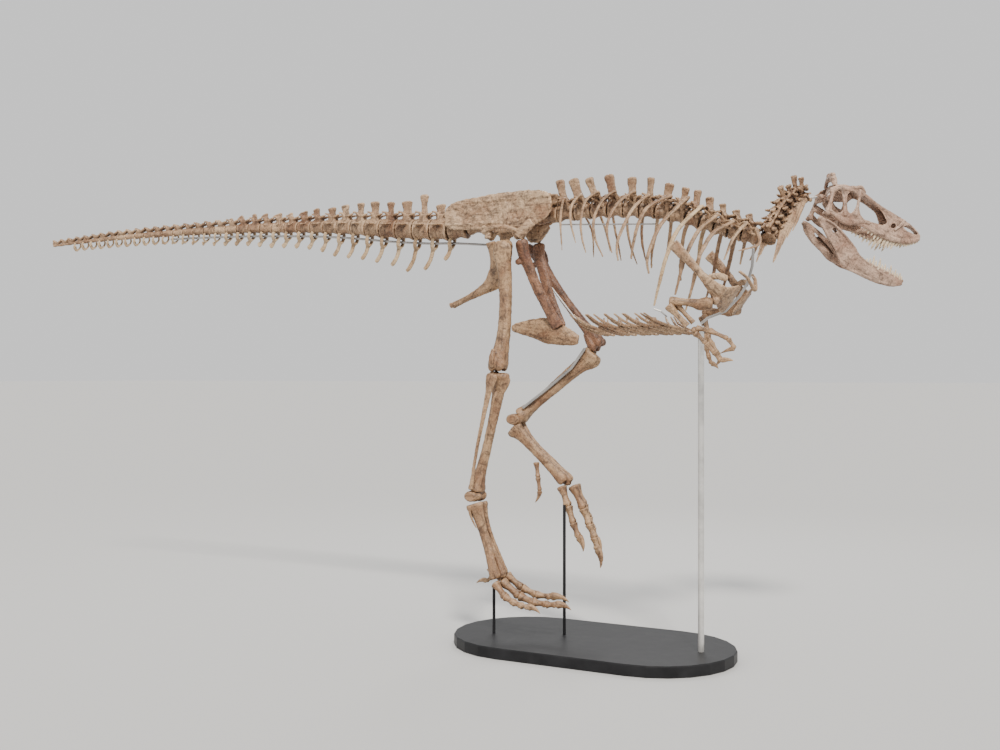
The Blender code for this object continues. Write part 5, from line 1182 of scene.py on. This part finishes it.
def add_ankle(side):
    """Astragalus with its rising plate, and the calcaneum beside it."""
    leg = LEGS[side]
    front = leg_front(side)[1]
    knee, ankle = leg["knee"], leg["ankle"]
    centre = between(knee, ankle, 0.985)
    clay = Clay(side)
    clay.loft([(centre[0], centre[1] - 0.066, centre[2], 0.040, 0.028),
               (centre[0], centre[1] - 0.040, centre[2], 0.053, 0.036),
               (centre[0], centre[1] - 0.008, centre[2], 0.043, 0.030),
               (centre[0], centre[1] + 0.026, centre[2], 0.050, 0.034),
               (centre[0], centre[1] + 0.044, centre[2], 0.041, 0.029)], sides=24)
    bone_loft(clay, knee, ankle, front, [(0.985, -0.008, 0.022, 0.050, 0.010),
                                         (0.95, -0.006, 0.030, 0.044, 0.007),
                                         (0.90, 0.002, 0.032, 0.030, 0.005),
                                         (0.85, 0.008, 0.030, 0.018, 0.004),
                                         (0.80, 0.012, 0.028, 0.005, 0.003)], sides=14, steps=4)
    bone("astragalus_" + side_name(side), clay, LIMB, ["ankle_" + side_name(side)], voxel=0.0043, rough=0.9)
    clay = Clay(side)
    clay.loft([(centre[0], centre[1] + 0.050, centre[2], 0.041, 0.030),
               (centre[0], centre[1] + 0.062, centre[2], 0.045, 0.032),
               (centre[0], centre[1] + 0.074, centre[2], 0.032, 0.024)], sides=20)
    bone("calcaneum_" + side_name(side), clay, LIMB, ["ankle_" + side_name(side)], voxel=0.0043, rough=0.8)


METATARSAL_ENDS = {2: (-0.046, 0.955, 0.008), 3: (0.0, 1.0, 0.016), 4: (0.046, 0.965, 0.004)}


def add_metatarsus(side):
    """Three long foot bones, the middle one pinched out at its top, and the fifth bone's splint."""
    leg = LEGS[side]
    front = leg_front(side)[2]
    ankle, ball = leg["heel"], leg["ball"]
    nodes = ["metatarsus_" + side_name(side)]
    for number, (out, share, ahead) in METATARSAL_ENDS.items():
        clay = Clay(side)
        if number == 3:
            rows = [(0.085, 0.0, 0.010, 0.008, 0.022), (0.16, 0.0, 0.002, 0.006, 0.014),
                    (0.40, 0.0, 0.002, 0.008, 0.014), (0.62, 0.0, 0.006, 0.016, 0.024),
                    (0.82, 0.0, ahead, 0.021, 0.028), (0.92, 0.0, ahead, 0.025, 0.034),
                    (0.98, 0.0, ahead, 0.026, 0.035), (1.01, 0.0, ahead, 0.018, 0.025)]
        else:
            top = 0.56 * out
            rows = [(0.070, 1.15 * top, -0.002, 0.026, 0.052), (0.11, 1.15 * top, -0.002, 0.028, 0.057),
                    (0.17, 1.05 * top, 0.0, 0.023, 0.044), (0.28, 0.95 * top, 0.0, 0.018, 0.034),
                    (0.45, 0.95 * top, 0.0, 0.017, 0.029), (0.62, 0.70 * out, 0.004, 0.017, 0.028),
                    (0.80, 0.92 * out, ahead, 0.019, 0.029), (share - 0.05, out, ahead, 0.022, 0.034),
                    (share, out, ahead, 0.023, 0.034), (share + 0.03, out, ahead, 0.015, 0.024)]
        bone_loft(clay, ankle, ball, front, rows)
        for knob in (-0.013, 0.013):
            clay.ball(tuple(between(ankle, ball, share - 0.005, out + knob, front * (ahead - 0.008))),
                      (0.019, 0.011, 0.021))
        bone("metatarsal_%d_%s" % (number, side_name(side)), clay, LIMB, nodes, voxel=0.0045, rough=0.9)
    clay = Clay(side)
    bone_loft(clay, ankle, ball, front, [(0.085, 0.056, -0.020, 0.007, 0.012),
                                         (0.16, 0.054, -0.034, 0.006, 0.009),
                                         (0.26, 0.046, -0.036, 0.005, 0.007),
                                         (0.36, 0.040, -0.028, 0.003, 0.004)], sides=12)
    bone("metatarsal_5_" + side_name(side), clay, LIMB, nodes, voxel=0.0037, rough=0.6)


# Toes, y outward: the joints of each digit, then the claw's tip.
TOES = {
    -1: {1: [(-0.630, 0.078, 0.440), (-0.618, 0.074, 0.385), (-0.655, 0.068, 0.362),
             (-0.732, 0.062, 0.338)],
         2: [(-0.506, 0.100, 0.414), (-0.410, 0.082, 0.342), (-0.325, 0.068, 0.306),
             (-0.235, 0.058, 0.300), (-0.116, 0.050, 0.276)],
         3: [(-0.512, 0.150, 0.386), (-0.395, 0.146, 0.305), (-0.305, 0.141, 0.276),
             (-0.225, 0.137, 0.270), (-0.165, 0.133, 0.272), (-0.066, 0.130, 0.248)],
         4: [(-0.530, 0.198, 0.378), (-0.455, 0.212, 0.306), (-0.395, 0.220, 0.280),
             (-0.342, 0.226, 0.268), (-0.296, 0.231, 0.264), (-0.212, 0.240, 0.234)]},
    1: {1: [(-0.398, 0.084, 1.076), (-0.384, 0.080, 0.985), (-0.372, 0.078, 0.905), (-0.404, 0.076, 0.828)],
        2: [(-0.240, 0.104, 0.936), (-0.192, 0.095, 0.820), (-0.155, 0.088, 0.722),
            (-0.120, 0.083, 0.645), (-0.088, 0.080, 0.554)],
        3: [(-0.186, 0.150, 0.938), (-0.118, 0.150, 0.805), (-0.078, 0.150, 0.712),
            (-0.048, 0.150, 0.635), (-0.028, 0.150, 0.570), (-0.008, 0.150, 0.452)],
        4: [(-0.192, 0.204, 0.940), (-0.138, 0.210, 0.820), (-0.108, 0.214, 0.745),
            (-0.084, 0.217, 0.682), (-0.066, 0.220, 0.624), (-0.040, 0.224, 0.522)]},
}
TOE_RADII = {1: 0.019, 2: 0.031, 3: 0.033, 4: 0.029}


def add_digit(name, joints, radius, taper, side, node, finish, curl=(0.0, 0.0, 1.0)):
    """The bones of a toe or finger, each a spool with a ball end, and then the claw."""
    joints = [np.array(joint, dtype=float) for joint in joints]
    curl = np.array(curl, dtype=float)
    for number, (start, end) in enumerate(zip(joints[:-2], joints[1:-1])):
        size = radius * taper ** number
        clay = Clay(side)
        rows = []
        for share, wide, deep in ((0.02, 0.80, 0.80), (0.08, 1.02, 1.0), (0.20, 0.92, 0.86),
                                  (0.48, 0.66, 0.62), (0.74, 0.72, 0.66), (0.88, 0.86, 0.80),
                                  (0.95, 0.62, 0.64)):
            rows.append((*(start + (end - start) * share), size * wide, size * deep))
        clay.loft(rows, sides=18, steps=4)
        for out in (-0.42, 0.42):
            knob = start + (end - start) * 0.90
            clay.ball((knob[0], knob[1] + out * size, knob[2]), (0.70 * size, 0.42 * size, 0.72 * size))
        bone("%s_bone_%d" % (name, number + 1), clay, finish, [node], voxel=0.0034, rough=0.7)
    start, tip = joints[-2], joints[-1]
    size = radius * taper ** (len(joints) - 2)
    run = tip - start
    arch = curl * 0.14 * np.linalg.norm(run)
    clay = Clay(side)
    clay.loft([(*(start + 0.02 * run), 0.70 * size, 0.80 * size),
               (*(start + 0.12 * run + 0.35 * arch), 0.82 * size, 1.05 * size),
               (*(start + 0.35 * run + 0.85 * arch), 0.60 * size, 0.86 * size),
               (*(start + 0.62 * run + 0.9 * arch), 0.42 * size, 0.58 * size),
               (*(start + 0.85 * run + 0.5 * arch), 0.22 * size, 0.30 * size), (*tip, 0.0012, 0.0014)],
               sides=16, steps=5)
    bone(name + "_claw", clay, finish, [node], voxel=0.0028, rough=0.35, soft=1)


def add_toes(side):
    for number, joints in TOES[side].items():
        name = "toe_%d_%s" % (number, side_name(side))
        curl = (0.0, 0.0, 1.0) if side < 0 else (0.9, 0.0, 0.3)
        add_digit(name, joints, TOE_RADII[number], 0.91, side, name, LIMB, curl)


# ---- shoulders and arms -------------------------------------------------------------------------

def add_scapulocoracoid(side):
    """Blade, neck, acromion, glenoid and coracoid in one bone that wraps round the chest."""
    clay = Clay(side)
    clay.loft([(0.606, 0.306, 2.300, 0.007, 0.034), (0.640, 0.305, 2.266, 0.010, 0.031),
               (0.700, 0.301, 2.200, 0.012, 0.025), (0.752, 0.292, 2.140, 0.014, 0.022),
               (0.790, 0.272, 2.092, 0.015, 0.029), (0.822, 0.244, 2.054, 0.015, 0.042),
               (0.846, 0.214, 2.026, 0.014, 0.054)], up=(0.72, 0.10, 0.68), sides=22)
    clay.loft([(0.790, 0.262, 2.118, 0.008, 0.016), (0.832, 0.232, 2.124, 0.009, 0.020),
               (0.872, 0.194, 2.112, 0.008, 0.018)],
              up=(0.2, 0.0, 1.0))
    clay.loft([(0.842, 0.212, 2.024, 0.013, 0.054), (0.852, 0.178, 2.016, 0.011, 0.070),
               (0.860, 0.140, 2.010, 0.010, 0.086), (0.864, 0.104, 2.008, 0.010, 0.092),
               (0.866, 0.078, 2.010, 0.007, 0.076)],
               up=(0.605, 0.0, 0.796), sides=26)
    clay.ball((0.812, 0.222, 2.000), (0.026, 0.020, 0.028))
    sided_bone("scapulocoracoid", side, clay, LIGHT, voxel=0.0045, rough=1.3)


def add_furcula():
    clay = Clay()
    clay.loft([(0.915, -0.122, 2.156, 0.006, 0.009), (0.944, -0.076, 2.122, 0.007, 0.011),
               (0.958, -0.036, 2.084, 0.008, 0.012), (0.964, 0.0, 2.060, 0.009, 0.014),
               (0.958, 0.036, 2.084, 0.008, 0.012), (0.944, 0.076, 2.122, 0.007, 0.011),
               (0.915, 0.122, 2.156, 0.006, 0.009)], up=(1, 0, 0))
    bone("furcula", clay, LIGHT, ["furcula"], voxel=0.0037, rough=0.7)


# Arm joints, y outward: shoulder, elbow, wrist, then both fingers to the claw tips.
ARMS = {
    -1: dict(shoulder=(0.812, 0.245, 1.975), elbow=(0.580, 0.300, 1.996), wrist=(0.700, 0.270, 1.858),
             one=[(0.722, 0.262, 1.850), (0.785, 0.248, 1.838), (0.888, 0.236, 1.792),
                  (0.922, 0.230, 1.742), (0.838, 0.230, 1.712)],
             two=[(0.714, 0.262, 1.826), (0.772, 0.250, 1.770), (0.812, 0.244, 1.722),
                  (0.846, 0.240, 1.678), (0.918, 0.238, 1.674)]),
    1: dict(shoulder=(0.812, 0.245, 1.975), elbow=(0.575, 0.300, 1.960), wrist=(0.606, 0.270, 1.838),
            one=[(0.614, 0.262, 1.826), (0.640, 0.250, 1.785), (0.680, 0.242, 1.727),
                 (0.700, 0.238, 1.694), (0.668, 0.238, 1.650)],
            two=[(0.602, 0.262, 1.816), (0.612, 0.252, 1.758), (0.626, 0.246, 1.708),
                 (0.642, 0.242, 1.668), (0.686, 0.240, 1.634)]),
}


def add_arm(side):
    arm = ARMS[side]
    where = side_name(side)
    front = np.array((0.0, 0.0, 1.0)) if side < 0 else np.array((0.3, 0.0, 0.95))
    clay = Clay(side)
    bone_loft(clay, arm["shoulder"], arm["elbow"], front,
              [(0.02, 0.0, 0.0, 0.026, 0.026), (0.07, 0.0, 0.0, 0.033, 0.034),
              (0.16, 0.0, 0.002, 0.028, 0.034), (0.30, 0.0, -0.006, 0.021, 0.033),
              (0.42, 0.0, -0.002, 0.019, 0.025), (0.62, 0.0, 0.0, 0.018, 0.020),
              (0.84, 0.0, 0.0, 0.025, 0.024), (0.94, 0.0, 0.0, 0.030, 0.027),
              (0.985, 0.0, 0.0, 0.020, 0.019)])
    sided_bone("humerus", side, clay, LIMB, voxel=0.0037, rough=0.8)
    for name, out, rear, size, start in (("ulna", 0.016, -0.013, 0.021, 0.11),
                                         ("radius", -0.018, 0.016, 0.017, 0.17)):
        clay = Clay(side)
        forward = np.array((0.8, 0.0, 0.6))
        bone_loft(clay, arm["elbow"], arm["wrist"], forward,
                  [(start, out, rear, size, size * 1.1),
                  (start + 0.08, out, rear, size * 1.1, size * 1.2),
                  (0.50, out, rear, size * 0.68, size * 0.72),
                  (0.80, out, rear, size * 0.80, size * 0.80), (0.92, out, rear, size, size * 0.92)],
                  sides=14)
        sided_bone(name, side, clay, LIMB, voxel=0.0034, rough=0.6)
    clay = Clay(side)
    wrist = between(arm["one"][0], arm["two"][0], 0.5)
    clay.ball(tuple(wrist + np.array((-0.006, 0.0, 0.002))), (0.018, 0.020, 0.019))
    clay.ball(tuple(wrist + np.array((0.012, 0.0, 0.010))), (0.014, 0.016, 0.014))
    bone("carpals_" + where, clay, LIMB, ["hand_" + where], voxel=0.0031, rough=0.6)
    for name, joints in (("finger_1_", arm["one"]), ("finger_2_", arm["two"])):
        add_digit(name + where, joints, 0.0200, 0.90, side, "hand_" + where, LIMB, (0.7, 0.0, 0.5))


def add_gastralia():
    """Rows of belly ribs, inner and outer pieces, swept back more toward the front.
    The inner ends cross on the midline."""
    for row in range(GASTRALIA_ROWS):
        share = row / (GASTRALIA_ROWS - 1)
        x = FIRST_GASTRALIA_X + GASTRALIA_PITCH * row + 0.007 * math.sin(4.1 * row)
        sweep = 0.096 + 0.074 * share + 0.012 * math.sin(2.3 * row)
        clay = Clay()
        for side in (-1, 1):
            clay.loft([(x - sweep, side * 0.246, 1.940, 0.0046, 0.0050),
                       (x - 0.70 * sweep, side * 0.180, 1.896, 0.0078, 0.0084),
                       (x - 0.34 * sweep, side * 0.104, 1.868, 0.0084, 0.0092),
                       (x + 0.004, side * 0.046, 1.850, 0.0042, 0.0048)], sides=12)
            clay.loft([(x - 0.66 * sweep, side * 0.146, 1.868, 0.0042, 0.0046),
                       (x - 0.24 * sweep, side * 0.078, 1.848, 0.0084, 0.0090),
                       (x + 0.014, side * 0.010, 1.832, 0.0080, 0.0084),
                       (x + 0.030, side * -0.020, 1.828, 0.0056, 0.0060)], sides=12)
        bone("gastralia_%02d" % (row + 1), clay, LIGHT if row % 3 == 1 else AXIAL, ["gastralia"],
             voxel=0.0034, rough=0.8, soft=1)


# ---- stand --------------------------------------------------------------------------------------

def dress(node, material):
    """Gives a CAD node that stays as it is a better material."""
    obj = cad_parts[node]
    obj.data.materials.clear()
    obj.data.materials.append(material)


# ---- build --------------------------------------------------------------------------------------

add_skull()
add_teeth()
for each_side in (-1, 1):
    add_mandible(each_side)
add_neck()
add_dorsals()
for each_side in (-1, 1):
    for each_rib in range(DORSALS):
        add_rib(each_rib, each_side)
add_sacrum()
add_caudals()
add_chevrons()
add_pubis()
add_furcula()
add_gastralia()
for each_side in (-1, 1):
    add_ilium(each_side)
    add_ischium(each_side)
    add_femur(each_side)
    add_tibia(each_side)
    add_fibula(each_side)
    add_ankle(each_side)
    add_metatarsus(each_side)
    add_toes(each_side)
    add_scapulocoracoid(each_side)
    add_arm(each_side)


# ---- camera, floor and light --------------------------------------------------------------------

CAMERA_PLACE = (2.724, -6.253, 1.600)
CAMERA_AZIMUTH = math.radians(28.0)
LENS = 42.12
SENSOR_WIDTH = 36.0
FLOOR_REACH = 250.0


def add_camera():
    data = bpy.data.cameras.new("camera")
    data.sensor_width = SENSOR_WIDTH
    data.lens = LENS
    camera = bpy.data.objects.new("camera", data)
    right = Vector((math.cos(CAMERA_AZIMUTH), math.sin(CAMERA_AZIMUTH), 0.0))
    ahead = Vector((-math.sin(CAMERA_AZIMUTH), math.cos(CAMERA_AZIMUTH), 0.0))
    turn = Matrix((right, Vector((0, 0, 1)), -ahead)).transposed().to_4x4()
    camera.matrix_world = Matrix.Translation(Vector(CAMERA_PLACE)) @ turn
    bpy.context.scene.collection.objects.link(camera)
    bpy.context.scene.camera = camera


def add_floor():
    mesh = bpy.data.meshes.new("floor")
    corners = [(x * FLOOR_REACH, y * FLOOR_REACH, 0) for x, y in ((-1, -1), (1, -1), (1, 1), (-1, 1))]
    mesh.from_pydata(corners, [], [(0, 1, 2, 3)])
    floor = bpy.data.objects.new("floor", mesh)
    bpy.context.scene.collection.objects.link(floor)
    material = bpy.data.materials.new("floor")
    material.use_nodes = True
    shader = material.node_tree.nodes["Principled BSDF"]
    shader.inputs["Base Color"].default_value = (0.51, 0.51, 0.505, 1.0)
    shader.inputs["Roughness"].default_value = 0.85
    mesh.materials.append(material)


def add_sun(name, place, target, angle, strength, colour):
    data = bpy.data.lights.new(name, "SUN")
    data.angle = angle
    data.energy = strength
    data.color = colour
    light = bpy.data.objects.new(name, data)
    light.rotation_euler = (Vector(target) - Vector(place)).to_track_quat("-Z", "Y").to_euler()
    bpy.context.scene.collection.objects.link(light)


def add_light(name, place, target, size, power, colour=(1.0, 1.0, 1.0)):
    data = bpy.data.lights.new(name, "AREA")
    data.shape = "DISK"
    data.size = size
    data.energy = power
    data.color = colour
    light = bpy.data.objects.new(name, data)
    light.location = place
    light.rotation_euler = (Vector(target) - Vector(place)).to_track_quat("-Z", "Y").to_euler()
    bpy.context.scene.collection.objects.link(light)


add_camera()
add_floor()
add_sun("key", (2.6, -4.2, 7.4), (-0.3, 0.0, 2.0), math.radians(9.0), 4.2, (1.0, 0.95, 0.88))
add_light("fill", (-5.0, -5.5, 4.0), (-1.0, 0.0, 1.8), 4.0, 30.0, (0.94, 0.96, 1.0))
add_light("rim", (-1.5, 4.5, 5.2), (-0.5, 0.0, 2.2), 2.0, 110.0)
world = bpy.data.worlds.new("studio")
world.use_nodes = True
world.node_tree.nodes["Background"].inputs["Color"].default_value = (0.93, 0.93, 0.93, 1.0)
world.node_tree.nodes["Background"].inputs["Strength"].default_value = 0.98
bpy.context.scene.world = world

for node_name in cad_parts:
    if node_name.startswith("stand_"):
        dress(node_name,
              POST_STEEL if node_name == "stand_post_front" else STEEL if "rod" in node_name else BLACK)
